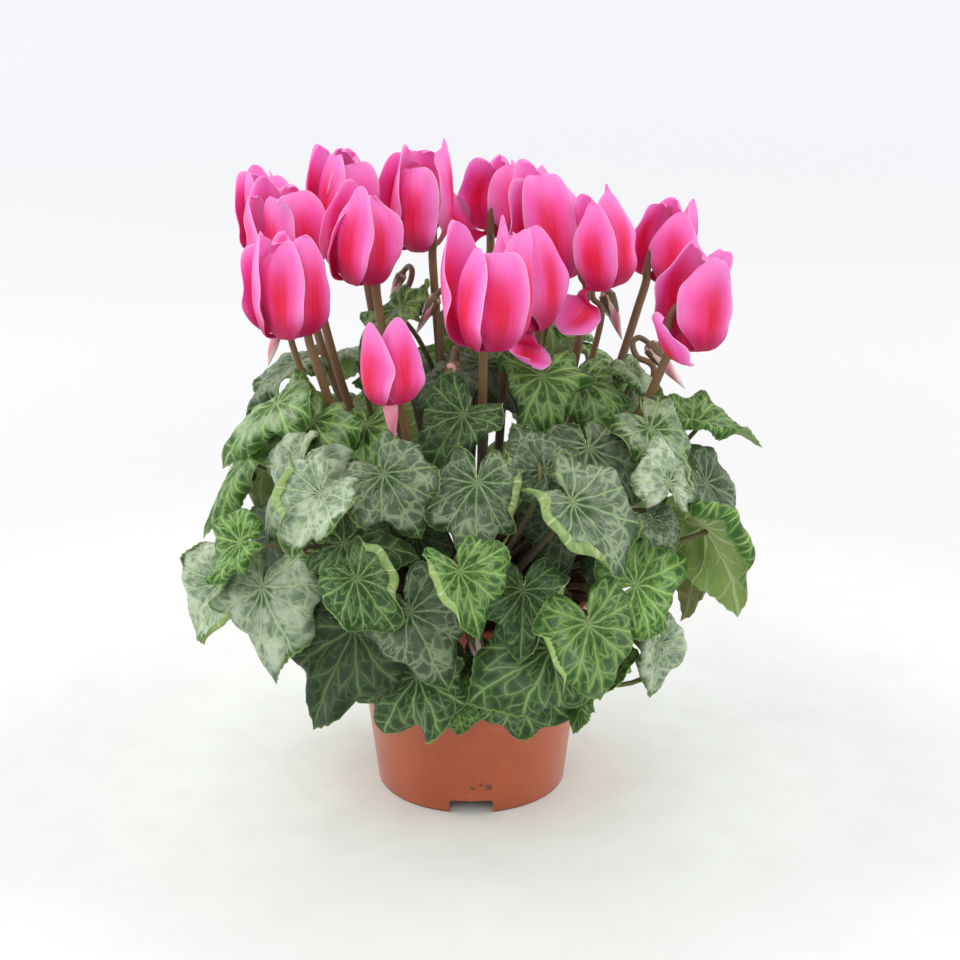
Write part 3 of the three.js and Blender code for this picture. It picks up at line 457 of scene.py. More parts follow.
def as_bloom(row, number):
    x, y, z, height, spread, lean_to, lean, spin, twist = row
    young = number == YOUNG["bloom"]
    loose, extra, length = LOOSE.get(number, (-1, 0, 1))
    petals = []
    for index, angle in enumerate(YOUNG["angles"] if young else PETAL_ANGLES):
        leans = draw(-6, 5) + (extra if index == loose else 0)
        tall = draw(0.88, 1.04) * (length if index == loose else 1)
        petals.append({"angle": angle, "lean": leans, "tall": tall})
    # Its own frame has the gap that the stalk comes through at +X, turned to the plant's middle.
    home = math.atan2(-y, -x) + spin * RAD
    tilt = turn_about(heading(lean_to + 90, 0), lean * RAD)
    return {
        "at": np.array([x, y, z], float),
        "height": height,
        "spread": spread,
        "twist": twist,
        "petals": petals,
        "nose": YOUNG["nose"] if young else 0,
        "turn": tilt @ turn_about((0, 0, 1), home),
    }


# How far a flower stalk rises straight from its foot, and how far its knee leans out.
STALK_RISE = 9
KNEE_OUT = 0.17


def stalk_curve(root, hook, at, turn):
    """From a foot on the crown and over a hook, which is given in the frame of what hangs there."""
    foot, out = root
    start = foot + out * STALK_RISE
    hook = [turn @ np.array([side, 0, up]) + at for side, up in hook]
    knee = (start + hook[0]) / 2
    knee[:2] += KNEE_OUT * (hook[0] - start)[:2]
    return np.array([foot, start, knee, *hook])


def spline(points, t):
    """Points along a Catmull-Rom curve, as three.js draws it."""
    p = np.vstack([2 * points[0] - points[1], points, 2 * points[-1] - points[-2]])
    spans = len(points) - 1
    along = np.asarray(t, float) * spans
    i = np.minimum(np.floor(along).astype(int), spans - 1)
    w = (along - i)[:, None]
    start, end = p[i + 1], p[i + 2]
    leave, arrive = 0.5 * (end - p[i]), 0.5 * (p[i + 3] - start)
    second = 3 * (end - start) - 2 * leave - arrive
    third = 2 * (start - end) + leave + arrive
    return start + leave * w + second * w**2 + third * w**3


# Flower stalks stand on the crown in two rings, each evenly spaced and in order of bearing.
FLOWER_RINGS = [(5.4, 7), (11.8, 14)]


def flower_roots(rows):
    bearings = [math.atan2(row[0], -row[1]) / RAD for row in rows]
    order = sorted(range(len(rows)), key=lambda i: math.hypot(rows[i][0], rows[i][1]))
    roots = [None] * len(rows)
    for radius, count in FLOWER_RINGS:
        ring = sorted(order[:count], key=lambda i: bearings[i])
        order = order[count:]
        step = 360 / count
        drift = sum(bearings[i] - k * step for k, i in enumerate(ring)) / count
        for k, i in enumerate(ring):
            roots[i] = crown_spot(drift + k * step, radius)
    return roots


def bud_frame(at, bearing, slope):
    up = -heading(bearing, -slope)
    gap = unit(np.array([-at[0], -at[1], 0]))
    side = unit(gap - up * gap.dot(up))
    return np.array([side, np.cross(up, side), up]).T


# Surfaces.
def add_object(name, data):
    made = bpy.data.objects.new(name, data)
    bpy.context.scene.collection.objects.link(made)
    return made


def as_mesh(name, points, faces, skins=()):
    """A mesh of points in millimetres."""
    mesh = bpy.data.meshes.new(name)
    mesh.from_pydata((points * MM).tolist(), [], faces)
    for skin in skins:
        mesh.materials.append(skin)
    return mesh


class Shape:
    """The surfaces of one piece, in millimetres, with the skin of each face and what skins read.

    place holds where on its leaf, petal or stem a point lies, and tone how that leaf or petal looks.
    """

    def __init__(self):
        self.points, self.place, self.tone = [], [], []
        self.faces, self.skins = [], []
        self.count = 0

    def add(self, points, faces, skins, place=(0, 0, 0), tone=(0, 0, 0)):
        points = np.asarray(points, float).reshape(-1, 3)
        self.points.append(points)
        self.place.append(np.broadcast_to(np.asarray(place, float), points.shape))
        self.tone.append(np.broadcast_to(np.asarray(tone, float), points.shape))
        self.faces += [[v + self.count for v in face] for face in faces]
        self.skins += [skins] * len(faces) if isinstance(skins, int) else list(skins)
        self.count += len(points)

    def piece(self, name, skins, slot, node):
        mesh = as_mesh(name, np.vstack(self.points), self.faces, skins)
        for key, values in (("place", self.place), ("tone", self.tone)):
            read = mesh.attributes.new(key, "FLOAT_VECTOR", "POINT")
            read.data.foreach_set("vector", np.vstack(values).ravel())
        mesh.polygons.foreach_set("material_index", self.skins)
        mesh.polygons.foreach_set("use_smooth", [True] * len(self.faces))
        mesh.update()
        made = add_object(name, mesh)
        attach(made, "root")
        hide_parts(node)
        return made


def grid_faces(index, closed=False):
    """Faces between the rows and columns of an array of point numbers. Equal corners are merged."""
    right = np.roll(index, -1, axis=1) if closed else index[:, 1:]
    left = index if closed else index[:, :-1]
    quads = np.stack([left[:-1], left[1:], right[1:], right[:-1]], axis=-1).reshape(-1, 4)
    return [list(dict.fromkeys(quad)) for quad in quads.tolist()]


def facing_of(grid, centre=None):
    """The way a grid of points faces. centre is that of a first row that is one point."""
    normal = np.cross(np.gradient(grid, axis=0), np.gradient(grid, axis=1))
    if centre is not None:
        normal[0] = centre
    length = np.linalg.norm(normal, axis=-1, keepdims=True)
    return normal / np.maximum(length, 1e-9)


def add_sheet(shape, grid, facing, half, skins, place, tone, pointed=False):
    """A thin closed sheet round a grid of points. skins are those of its face, back and rim."""
    rows, columns = grid.shape[:2]
    index = np.arange(rows * columns).reshape(rows, columns)
    if pointed:
        index[0] = 0
    kept, flat = np.unique(index, return_inverse=True)
    index = flat.reshape(rows, columns)
    n = len(kept)
    front = grid_faces(index)
    back = [[v + n for v in face[::-1]] for face in front]
    edge = [*index[0], *index[1:, -1], *index[-1, -2::-1], *index[-2:0:-1, 0]]
    edge = list(dict.fromkeys(int(v) for v in edge))
    rim = [[a, b, b + n, a + n] for a, b in zip(edge, edge[1:] + edge[:1])]
    move = facing * half[..., None]
    both = [(grid + way * move).reshape(-1, 3)[kept] for way in (1, -1)]
    where = place.reshape(-1, 3)[kept]
    each = [skins[0]] * len(front) + [skins[1]] * len(back) + [skins[2]] * len(rim)
    shape.add(np.vstack(both), front + back + rim, each, np.vstack([where, where]), tone)


def round_place(a, share):
    """place on a round body: cosine and sine of the way round, and the share of the way along."""
    share = share[:, None] + 0 * a
    return np.stack([np.cos(a) + 0 * share, np.sin(a) + 0 * share, share], axis=-1).reshape(-1, 3)


def add_lathe(shape, profile, sides, skin, turn=np.eye(3), at=0, radius=None, place=None, tone=(0, 0, 0)):
    """A body of revolution. radius may change the radius by direction and height."""
    profile = np.asarray(profile, float)
    a = np.arange(sides) / sides * 2 * math.pi
    r, z = [column[:, None] * np.ones(sides) for column in profile.T]
    if radius is not None:
        r = r * radius(a[None, :], z)
    index = np.arange(r.size).reshape(r.shape)
    for end in (0, -1):
        if profile[end, 0] == 0:
            index[end] = index[end, 0]
    kept, flat = np.unique(index, return_inverse=True)
    faces = grid_faces(flat.reshape(index.shape), closed=True)
    # A profile that runs up on its outside needs its faces turned to face out.
    pr, pz = profile.T
    if np.sum(pr * np.roll(pz, -1) - np.roll(pr, -1) * pz) > 0:
        faces = [face[::-1] for face in faces]
    if place is None:
        run = np.append(0, np.cumsum(np.hypot(*np.diff(profile, axis=0).T)))
        place = round_place(a, run / run[-1])[kept]
    points = np.stack([r * np.cos(a), r * np.sin(a), z], axis=-1).reshape(-1, 3)[kept]
    shape.add(points @ turn.T + at, faces, skin, place, tone)


def add_stem(shape, line, radii, sides, skin, tone):
    """A closed round stem along a line of points, from one radius to another."""
    along = np.gradient(line, axis=0)
    along /= np.linalg.norm(along, axis=1)[:, None]
    across = np.array([1.0, 0, 0]) if abs(along[0][0]) < 0.8 else np.array([0, 1.0, 0])
    angles = np.arange(sides) / sides * 2 * math.pi
    rings = []
    for centre, way, radius in zip(line, along, np.linspace(*radii, len(line))):
        across = unit(across - way * across.dot(way))
        third = np.cross(way, across)
        circle = np.cos(angles)[:, None] * across + np.sin(angles)[:, None] * third
        rings.append(centre + radius * circle)
    index = np.arange(len(line) * sides).reshape(-1, sides)
    faces = [face[::-1] for face in grid_faces(index, closed=True)]
    faces += [index[0][::-1].tolist(), index[-1].tolist()]
    shape.add(np.array(rings), faces, skin, round_place(angles, np.linspace(0, 1, len(line))), tone)


def rounded(profile, radius, steps=4):
    """The profile with its corners rounded."""
    profile = [np.array(p, float) for p in profile]
    out = [profile[0]]
    for before, corner, after in zip(profile, profile[1:], profile[2:]):
        back, on = before - corner, after - corner
        reach = min(radius, 0.45 * np.linalg.norm(back), 0.45 * np.linalg.norm(on))
        start, end = corner + unit(back) * reach, corner + unit(on) * reach
        for t in np.linspace(0, 1, steps):
            out.append((1 - t) ** 2 * start + 2 * t * (1 - t) * corner + t * t * end)
    return out + [profile[-1]]


# Materials.
def tint(code):
    """A colour of the screen, such as 0xC2694A, as the linear colour that shaders take."""
    parts = [(code >> shift & 255) / 255 for shift in (16, 8, 0)]
    return (*[p / 12.92 if p < 0.04045 else ((p + 0.055) / 1.055) ** 2.4 for p in parts], 1.0)


class Field:
    """What one output of a node gives. Fields add up and multiply like numbers."""

    def __init__(self, graph, socket):
        self.graph, self.socket = graph, socket

    def math(self, operation, other=0.0):
        return self.graph.node("Math", [self, other], operation=operation)

    def __add__(self, other):
        return self.math("ADD", other)

    def __sub__(self, other):
        return self.math("SUBTRACT", other)

    def __mul__(self, other):
        return self.math("MULTIPLY", other)

    def __abs__(self):
        return self.math("ABSOLUTE")

    def most(self, other):
        return self.math("MAXIMUM", other)

    def rise(self, low, high, top=1.0, base=0.0):
        """A smooth step from base up to top as the field goes from low to high."""
        feeds = [self, low, high, base, top]
        return self.graph.node("MapRange", feeds, interpolation_type="SMOOTHSTEP")

    def fade(self, low, high, top=1.0, base=0.0):
        """A smooth step from top down to base as the field goes from low to high."""
        return self.rise(low, high, base, top)


class Graph:
    """The nodes of a material or of the world, with a short call for each kind."""

    def __init__(self, tree):
        self.tree = tree

    def feed(self, socket, value):
        if isinstance(value, Field):
            self.tree.links.new(value.socket, socket)
        else:
            socket.default_value = value

    def node(self, kind, feeds=(), give=0, **settings):
        """One output of a new node. feeds go to its first inputs, or to the inputs that they name."""
        made = self.tree.nodes.new("ShaderNode" + kind)
        for key, value in settings.items():
            setattr(made, key, value)
        for key, value in feeds.items() if isinstance(feeds, dict) else enumerate(feeds):
            self.feed(made.inputs[key], value)
        return Field(self, made.outputs[give])

    def split(self, vector):
        made = self.node("SeparateXYZ", [vector]).socket.node
        return [Field(self, socket) for socket in made.outputs]

    def join(self, x, y, z):
        return self.node("CombineXYZ", [x, y, z])

    def move(self, a, b):
        return self.node("VectorMath", [a, b], operation="ADD")

    def mix(self, share, a, b):
        """From colour a to colour b, either of them a field or a colour of the screen."""
        a, b = [tint(colour) if isinstance(colour, int) else colour for colour in (a, b)]
        return self.node("Mix", {"Factor": share, 6: a, 7: b}, 2, data_type="RGBA", clamp_factor=True)

    def noise(self, at, scale, detail=3.0, rough=0.5):
        return self.node("TexNoise", {"Vector": at, "Scale": scale, "Detail": detail, "Roughness": rough})

    def swirl(self, at, scale, reach):
        """The place moved a little every way by noise."""
        shift = self.node("TexNoise", {"Vector": at, "Scale": scale}, "Color")
        shift = self.move(shift, (-0.5, -0.5, -0.5))
        return self.move(at, self.node("VectorMath", {0: shift, "Scale": reach}, operation="SCALE"))

    def cells(self, at, scale):
        """How far it is to the edge of the nearest cell."""
        return self.node("TexVoronoi", {"Vector": at, "Scale": scale}, feature="DISTANCE_TO_EDGE")

    def object_place(self):
        return self.node("TexCoord", give="Object")

    def read(self, name):
        """The three numbers of an attribute."""
        return self.split(self.node("Attribute", give="Vector", attribute_name=name))


class Skin(Graph):
    """A material, built up from a base colour and what is painted over it."""

    def __init__(self, name, **shader):
        self.material = bpy.data.materials.new(name)
        self.material.use_nodes = True
        super().__init__(self.material.node_tree)
        self.set(**shader)

    def set(self, **shader):
        for key, value in shader.items():
            self.feed(self.tree.nodes["Principled BSDF"].inputs[key.replace("_", " ")], value)

    def base(self, share, low, high):
        self.colour = self.mix(share, low, high)

    def paint(self, share, colour):
        self.colour = self.mix(share, self.colour, colour)

    def bump(self, height, distance, strength=1.0):
        feeds = {"Height": height, "Distance": distance, "Strength": strength}
        self.set(Normal=self.node("Bump", feeds))

    def wear(self, **shader):
        self.set(Base_Color=self.colour, **shader)
        return self.material


# The main veins leave the notch this many degrees apart.
VEIN_STEP = 32


def veins_of(skin):
    """What a blade's skins read: its look, where a point lies, and how far off the veins are.

    place on a blade is x and y as shares of its length, and the share of the way to the edge.
    """
    silver, bright, seed = skin.read("tone")
    u, v, share = skin.read("place")
    flat = skin.join(u, v, seed * 9.0)
    u, v, _ = skin.split(skin.swirl(flat, 4.5, 0.075))
    turn = v.math("ARCTAN2", u) * (1 / (VEIN_STEP * RAD)) + 16.5
    cell = abs(turn.math("FRACT") - 0.5) * 2.0
    main = cell * (u * u + v * v).math("SQRT") * (VEIN_STEP / 2 * RAD)
    bend = share + seed + skin.noise(flat, 5.0, 1) * 0.4 - cell * 0.4
    side = abs((bend * 2.7).math("FRACT") - 0.5) * 0.05
    look = {"silver": silver, "bright": bright, "seed": seed}
    return SimpleNamespace(share=share, flat=flat, cell=cell, main=main, side=side, **look)


def painted_inner_shade(skin):
    """How much painted shade darkens a skin towards the middle of the plant, where the leaves shade it."""
    x, y, z = skin.split(skin.object_place())
    rise = (z - 0.14) * 0.8
    return (x * x + y * y + rise * rise).math("SQRT").fade(0.045, 0.09, 0.7)


def leaf_upper():
    soft = {"Subsurface_Weight": 0.06, "Subsurface_Scale": 0.002, "Subsurface_Radius": (0.4, 1.0, 0.2)}
    skin = Skin("leaf_upper", Specular_IOR_Level=0.22, **soft)
    leaf = veins_of(skin)
    share, silver, bright = leaf.share, leaf.silver, leaf.bright
    blotch = skin.noise(leaf.flat, 4.2, 4, 0.6)
    fine = skin.noise(leaf.flat, 26.0, 3, 0.6)
    net = skin.cells(skin.swirl(leaf.flat, 9.0, 0.07), 9.0)
    ragged = share + (blotch - 0.5) * 0.55 + (leaf.cell - 0.5) * -0.16
    # The side veins start a little way out from the notch.
    outer = share.rise(0.15, 0.36, 1.0, 0.1)

    # Green: dark in the cells, lighter next to the veins, most of all in a ring inside the margin.
    deep = skin.mix(bright, 0x1B2E18, 0x2C561D)
    light = skin.mix(bright, 0x44653A, 0x7FAC4C)
    near_main = leaf.main.fade(0.0, 0.05)
    near = near_main.most(leaf.side.fade(0.002, 0.017, 0.8) * outer).most(net.fade(0.0, 0.16, 0.7))
    ring = ragged.rise(0.25, 0.45) * ragged.fade(0.72, 0.9)
    green = skin.mix(near * ring.rise(0.0, 1.0, 1.0, 0.3), deep, light)
    green = skin.mix(fine.rise(0.3, 0.75, 0.2), green, 0x62863F)

    # A silver zone lies between the dark heart and the green margin.
    start = silver.fade(0.0, 1.0, 0.4, 0.08)
    end = silver.rise(0.0, 1.0, 0.88, 0.62)
    zone = ragged.rise(start, start + 0.14) * ragged.fade(end, end + 0.12)
    zone = zone * silver.rise(0.0, 0.7, 0.95, 0.1) * leaf.main.rise(0.004, 0.03, 1.0, 0.55)
    metal = skin.mix(fine.rise(0.25, 0.8), 0x6F8368, 0x9AAC8F)
    metal = skin.mix(blotch.rise(0.42, 0.58, 0.8), metal, 0xC4D0B8)
    metal = skin.mix(net.rise(0.12, 0.4, 0.5), metal, 0x597150)
    dull = skin.mix(0.8, metal, 0x37492F)
    skin.base(zone, green, skin.mix(bright.rise(0.1, 0.55), dull, metal))

    # The veins are pale lines, and the edge a thin paler one.
    line = leaf.main.fade(0.002, 0.014).most(leaf.side.fade(0.0005, 0.0045, 0.7) * outer)
    chain = ragged.rise(0.4, 0.52) * ragged.fade(0.78, 0.9) * net.fade(0.03, 0.13, 0.8)
    line = line.most(net.fade(0.0, 0.05, 0.3)).most(chain * silver.rise(0.2, 0.6))
    line = line * share.fade(0.86, 1.0, 1.0, 0.2)
    skin.paint(line * bright.rise(0.0, 0.6, 0.66, 0.42), skin.mix(silver, 0xA6C878, 0xC2D4AC))
    skin.paint(share.rise(0.965, 0.99, 0.5), 0x90AE5C)
    skin.paint(leaf.seed.rise(0.0, 1.0, 0.24), 0x182815)
    # Painted shade on deep leaves and those of look h, and near the middle of the plant.
    skin.paint(leaf.seed.rise(1.0, 1.01, 0.5), 0x121D10)
    skin.paint(painted_inner_shade(skin), 0x10190E)

    sunk = leaf.side.rise(0.0, 0.015) - near_main * 0.8
    skin.bump(sunk + fine * 0.35, 0.00035, 0.8)
    return skin.wear(Roughness=fine.rise(0.2, 0.8, 0.56, 0.4))


def leaf_under():
    skin = Skin("leaf_underside", Roughness=0.5)
    leaf = veins_of(skin)
    fine = skin.noise(leaf.flat, 18.0, 3, 0.6)
    skin.base(leaf.bright, 0x6E8A4A, 0x8AAA58)
    skin.paint(fine.rise(0.3, 0.8, 0.8), 0x9FB86E)
    line = leaf.main.fade(0.003, 0.02).most(leaf.side.fade(0.001, 0.006, 0.5))
    skin.paint(line * 0.6, 0xC9D6A2)
    skin.bump(line + fine * 0.3, 0.0005, 0.8)
    return skin.wear()


def stem_skin(name, low, high, flush):
    """Skin of a stalk: one colour at its foot, another at its neck, with fine lengthwise streaks."""
    skin = Skin(name)
    c, s, along = skin.read("place")
    seed = skin.read("tone")[2]
    streak = skin.noise(skin.join(c * 2.5, s * 2.5, (along + seed) * 2.0), 3.0, 4, 0.65)
    grain = skin.noise(skin.object_place(), 900.0, 2)
    skin.base(along.rise(0.15, 0.95), low, high)
    skin.paint(streak.rise(0.4, 0.75, 0.6), flush)
    # Painted shade towards the middle of the plant.
    skin.paint(painted_inner_shade(skin), 0x17120C)
    skin.bump(streak + grain * 0.5, 0.0003, 0.5)
    return skin.wear(Roughness=grain.rise(0.3, 0.7, 0.52, 0.34))


def petal_skin():
    """place on a petal is how far across it and how far up it a point lies."""
    soft = {"Subsurface_Weight": 0.5, "Subsurface_Scale": 0.003, "Subsurface_Radius": (1.0, 0.5, 0.7)}
    skin = Skin("petal", Specular_IOR_Level=0.3, **soft)
    across, up, _ = skin.read("place")
    pale, _, seed = skin.read("tone")
    width = abs(across)
    streak = skin.noise(skin.join(across * 9.0, up * 1.1, seed * 17.0), 1.6, 4, 0.6)
    cloud = skin.noise(skin.join(across, up * 2.0, seed * 5.0), 1.3, 2)
    # A crimson band runs up the middle, widest low down. The margins and the top are lighter.
    spread = width + (cloud - 0.5) * 0.5 + (streak - 0.5) * 0.22
    skin.base(up.rise(0.2, 0.95), 0xFA3E80, 0xFF62B2)
    skin.paint(spread.fade(0.1, 0.62) * up.fade(0.58, 1.0, 1.0, 0.2), 0xE61A45)
    skin.paint(spread.rise(0.5, 0.95, 0.8).most(up.rise(0.75, 1.0, 0.65)), 0xFF90D6)
    skin.paint(width.rise(0.93, 0.99, 0.5), 0xFFC0E2)
    skin.paint(streak.rise(0.45, 0.75, 0.25), 0xF65CAA)
    skin.paint(up.fade(0.28, 0.56, 0.8), 0xA81654)
    skin.paint(pale, 0xF2B7C4)
    skin.bump(streak, 0.0006, 0.5)
    return skin.wear(Roughness=streak.rise(0.3, 0.7, 0.6, 0.46))


def bud_skin():
    """A rolled bud: pale, with pink streaks that wind round it and a white tip."""
    skin = Skin("bud", Roughness=0.5, Subsurface_Weight=0.15, Subsurface_Scale=0.002)
    c, s, along = skin.read("place")
    pink, _, seed = skin.read("tone")
    wind = (s.math("ARCTAN2", c) * 2.0 + along * 9.0).math("SINE")
    share = wind * 0.3 + skin.noise(skin.join(c * 2.0, s * 2.0, along + seed), 4.0, 3, 0.6)
    skin.base(share.rise(0.25, 0.75), 0xF1DCD6, 0xE08FA2)
    skin.paint(along.rise(0.75, 1.0, 0.7), 0xF6ECE6)
    skin.paint(along.fade(0.1, 0.35, 0.7), 0xC9A58F)
    skin.paint(pink, 0xF488A2)
    skin.bump(share, 0.0004, 0.6)
    return skin.wear()


def sepal_skin():
    skin = Skin("sepal", Roughness=0.55)
    at = skin.object_place()
    grain = skin.noise(at, 700.0, 3, 0.6)
    skin.base(skin.noise(at, 180.0, 2).rise(0.35, 0.65), 0x5E5A38, 0x7A5545)
    skin.paint(grain.rise(0.45, 0.8, 0.6), 0x8D8660)
    skin.bump(grain, 0.0004, 0.6)
    return skin.wear()


# Where soil sticks to the pot: bearing, height and size in millimetres.
SMUDGES = [(1, 14, 2.3), (5.7, 16, 1.8), (10.4, 14.5, 3.0), (-44, 38, 1.3)]


def pot_skin():
    """Terracotta-coloured moulded plastic, a little scuffed, with a few smudges of soil."""
    skin = Skin("pot_plastic", Coat_Weight=0.55, Coat_Roughness=0.35)
    at = skin.object_place()
    x, y, z = skin.split(at)
    grain = skin.noise(at, 420.0, 4, 0.65)
    skin.base(skin.noise(at, 22.0, 3, 0.55).rise(0.3, 0.7), 0xA54015, 0xB44D20)
    skin.paint(grain.rise(0.45, 0.75, 0.35), 0xC0623A)
    # Darker towards the bottom, with painted contact shadow along the lowest millimetre of the foot.
    skin.paint(z.fade(0.0, 0.02, 0.28), 0x9A4A2C)
    skin.paint(z.fade(0.0006, 0.0014, 0.6), 0x5A2A18)
    skin.paint(skin.noise(at, 70.0, 5, 0.7).rise(0.56, 0.8, 0.25), 0xD08A64)
    soil = 0.0
    for bearing, height, size in SMUDGES:
        middle = heading(bearing, 0) * wall_radius(height) + np.array([0, 0, height])
        off = skin.move(skin.swirl(at, 600.0, 0.004), tuple(-middle * MM))
        off = skin.node("VectorMath", [off], "Value", operation="LENGTH")
        soil = off.fade(size * 0.3 * MM, size * 0.75 * MM, 0.85).most(soil)
    skin.paint(soil, 0x4A2E22)
    # Painted shade: above the compost the inside of the wall is painted darker, as under the leaves.
    inside = (x * x + y * y).math("SQRT").fade(0.0568, 0.0576, 0.8)
    skin.paint(z.rise(0.0865, 0.0885) * inside, 0x3A2218)
    ring = skin.noise(skin.join(0.0, 0.0, z), 260.0, 2)
    skin.bump(grain * 0.5 + ring + soil * 2.0, 0.00012, 0.6)
    return skin.wear(Roughness=grain.rise(0.3, 0.7, 0.46, 0.34) + soil * 0.4)


def peat_skin():
    skin = Skin("peat", Roughness=0.95)
    at = skin.object_place()
    grain = skin.noise(at, 350.0, 6, 0.75)
    skin.base(grain.rise(0.3, 0.75), 0x1C130D, 0x4B3626)
    skin.paint(skin.noise(at, 60.0).rise(0.5, 0.7, 0.5), 0x5E4733)
    skin.paint(skin.cells(at, 420.0).fade(0.0, 0.03, 0.35), 0x7C6244)
    skin.bump(grain, 0.0015)
    return skin.wear()


def cork_skin():
    skin = Skin("tuber_cork", Roughness=0.85)
    at = skin.object_place()
    crack = skin.cells(at, 210.0)
    grain = skin.noise(at, 480.0, 5, 0.7)
    skin.base(grain.rise(0.3, 0.75), 0x4A3424, 0x80634A)
    skin.paint(crack.fade(0.0, 0.09, 0.8), 0x2A1C13)
    skin.bump(crack.rise(0.0, 0.12) + grain * 0.4, 0.0009)
    return skin.wear()


def floor_skin():
    """Studio paper with painted light and shade: palest right under the pot and far away."""
    skin = Skin("studio_floor", Roughness=0.9, Specular_IOR_Level=0.1)
    at = skin.object_place()
    x, y, _ = skin.split(at)
    far = (x * x + y * y).math("SQRT")
    # Painted light: palest and a little green near the pot, lifting its shade and pink bounce.
    skin.base(far.rise(0.075, 0.24), 0xF8FFF9, 0xE8E8E7)
    # Painted shadow of the plant on the paper in front of it.
    skin.paint(y.fade(-0.16, 0.0, 0.45) * abs(x).fade(0.03, 0.2), 0xCFCFCC)
    skin.paint(skin.noise(at, 40.0).rise(0.3, 0.8, 0.2), 0xDADAD8)
    # Painted light and shade by distance: darker out to a metre, lighter beyond, white far away.
    skin.paint(far.rise(0.28, 0.48), 0xDEDEDF)
    skin.paint(far.rise(0.5, 0.9), 0xE2E2E3)
    skin.paint(far.rise(1.0, 2.8), 0xEEEFF3)
    skin.paint(far.rise(3.4, 8.0), 0xFFFFFF)
    return skin.wear()


# The pot, the compost and the tuber.
def make_pot():
    foot, height, wall = POT["foot"], POT["height"], POT["wall"]
    recess, collar = POT["recess"], height - POT["collar"]
    floor_top = recess + POT["floor"]
    profile = [(0, 0), (POT["pad"], 0), (POT["pad"] + 2, recess), (foot - POT["ring"] - 1, recess)]
    profile += [(foot - POT["ring"], 0), (foot, 0), (wall_radius(collar), collar)]
    profile += [(wall_radius(collar) + POT["proud"], collar + POT["step"]), (POT["rim"], height)]
    profile += [(POT["rim"] - POT["proud"] - wall, height)]
    profile += [(wall_radius(floor_top) - wall, floor_top), (0, floor_top)]
    shape = Shape()
    add_lathe(shape, rounded(profile, POT["edge"]), SIDES["pot"], 0)
    pot = shape.piece("pot_moulded", [pot_skin()], "pot", "pot")
    for i in range(DRAIN["count"]):
        cut_drain(pot, 2 * math.pi * i / DRAIN["count"])
    pot.data.polygons.foreach_set("use_smooth", [True] * len(pot.data.polygons))
    pot.data.set_sharp_from_angle(angle=40 * RAD)


def cut_drain(pot, turn):
    """Cuts one drain notch out of the foot, with rounded upper corners."""
    half, height, corner = DRAIN["width"] / 2, DRAIN["height"], DRAIN["corner"]
    arch = [(-half, -height)]
    for a in np.linspace(0, 90, 5) * RAD:
        arch.append((-half + corner * (1 - math.cos(a)), height - corner * (1 - math.sin(a))))
    arch += [(-x, z) for x, z in arch[::-1]]
    ends = [-POT["foot"] - 1 - DRAIN["depth"], -POT["foot"] - 1 + DRAIN["depth"]]
    points = np.array([[x, y, z] for y in ends for x, z in arch]) @ turn_about((0, 0, 1), turn).T
    n = len(arch)
    faces = [list(range(n))[::-1], list(range(n, 2 * n))]
    faces += [[j, (j + 1) % n, (j + 1) % n + n, j + n] for j in range(n)]
    cutter = add_object("drain", as_mesh("drain", points, faces))
    cut = pot.modifiers.new("drain", "BOOLEAN")
    cut.operation = "DIFFERENCE"
    cut.solver = "EXACT"
    cut.object = cutter
    bpy.context.view_layer.update()
    shaped = pot.evaluated_get(bpy.context.evaluated_depsgraph_get())
    pot.data = bpy.data.meshes.new_from_object(shaped)
    pot.modifiers.clear()
    bpy.data.objects.remove(cutter)


def rough_at(point, scale, height):
    return height * noise.fractal(Vector(point) * scale, 0.8, 2.2, 4)


def make_compost():
    """The compost, heaped up to the tuber, with crumbs lying on it."""
    bottom = POT["recess"] + POT["floor"] + GAP
    inside = wall_radius(SOIL["edge"]) - POT["wall"] - GAP - 0.3
    well = TUBER["radius"] + GAP * 1.4

    def top(r):
        heights = [SOIL["middle"], SOIL["shoulder"], SOIL["edge"]]
        return float(np.interp(r, [0, inside * 0.72, inside], heights))

    profile = [(0, bottom), (wall_radius(bottom) - POT["wall"] - GAP - 0.3, bottom)]
    profile += [(inside - 0.4, SOIL["edge"] - 2)]
    profile += [(r, top(r)) for r in np.linspace(inside, well + 0.6, 18)]
    profile += [(well, TUBER["middle"]), (well * 0.8, TUBER["middle"] - 9), (0, TUBER["middle"] - 15.4)]
    shape = Shape()
    add_lathe(shape, profile, SIDES["compost"], 0)
    points = shape.points[0]
    for i, (x, y, z) in enumerate(points):
        if z > SOIL["edge"] - 0.5 and well < math.hypot(x, y) < inside - 0.2:
            points[i, 2] += rough_at((x, y, 0), 0.16, 1.5)
    for _ in range(SOIL["crumbs"]):
        r, a = chance.uniform(30, inside - 2), chance.uniform(0, 2 * math.pi)
        size = chance.uniform(0.5, 1.7)
        add_crumb(shape, (r * math.cos(a), r * math.sin(a), top(r) + size * 0.4), size)
    shape.piece("compost_peat", [peat_skin()], "compost", "compost")


def add_crumb(shape, at, size):
    """A small lump with uneven sides."""
    profile = np.array([(0, -1), (0.8, -0.5), (1, 0.1), (0.6, 0.8), (0, 1)]) * size
    turn = turn_about(unit(chance.normal(size=3)), chance.uniform(0, 3))
    uneven = chance.uniform(0.7, 1.25, (5, 6))
    add_lathe(shape, profile, 6, 0, turn, at, lambda a, z: uneven)


def make_tuber():
    steps = 28
    profile = []
    for i in range(steps + 1):
        a = -math.pi / 2 + math.pi * i / steps
        r = 0 if i in (0, steps) else TUBER["radius"] * math.cos(a)
        profile.append((r, TUBER["middle"] + TUBER["height"] * math.sin(a)))
    shape = Shape()
    add_lathe(shape, profile, SIDES["tuber"], 0)
    points = shape.points[0]
    middle = np.array([0, 0, TUBER["middle"]])
    for i, point in enumerate(points):
        points[i] += unit(point - middle) * (rough_at(point, 0.12, 0.5) - 0.25)
    shape.piece("tuber_corky", [cork_skin()], "tuber", "tuber")


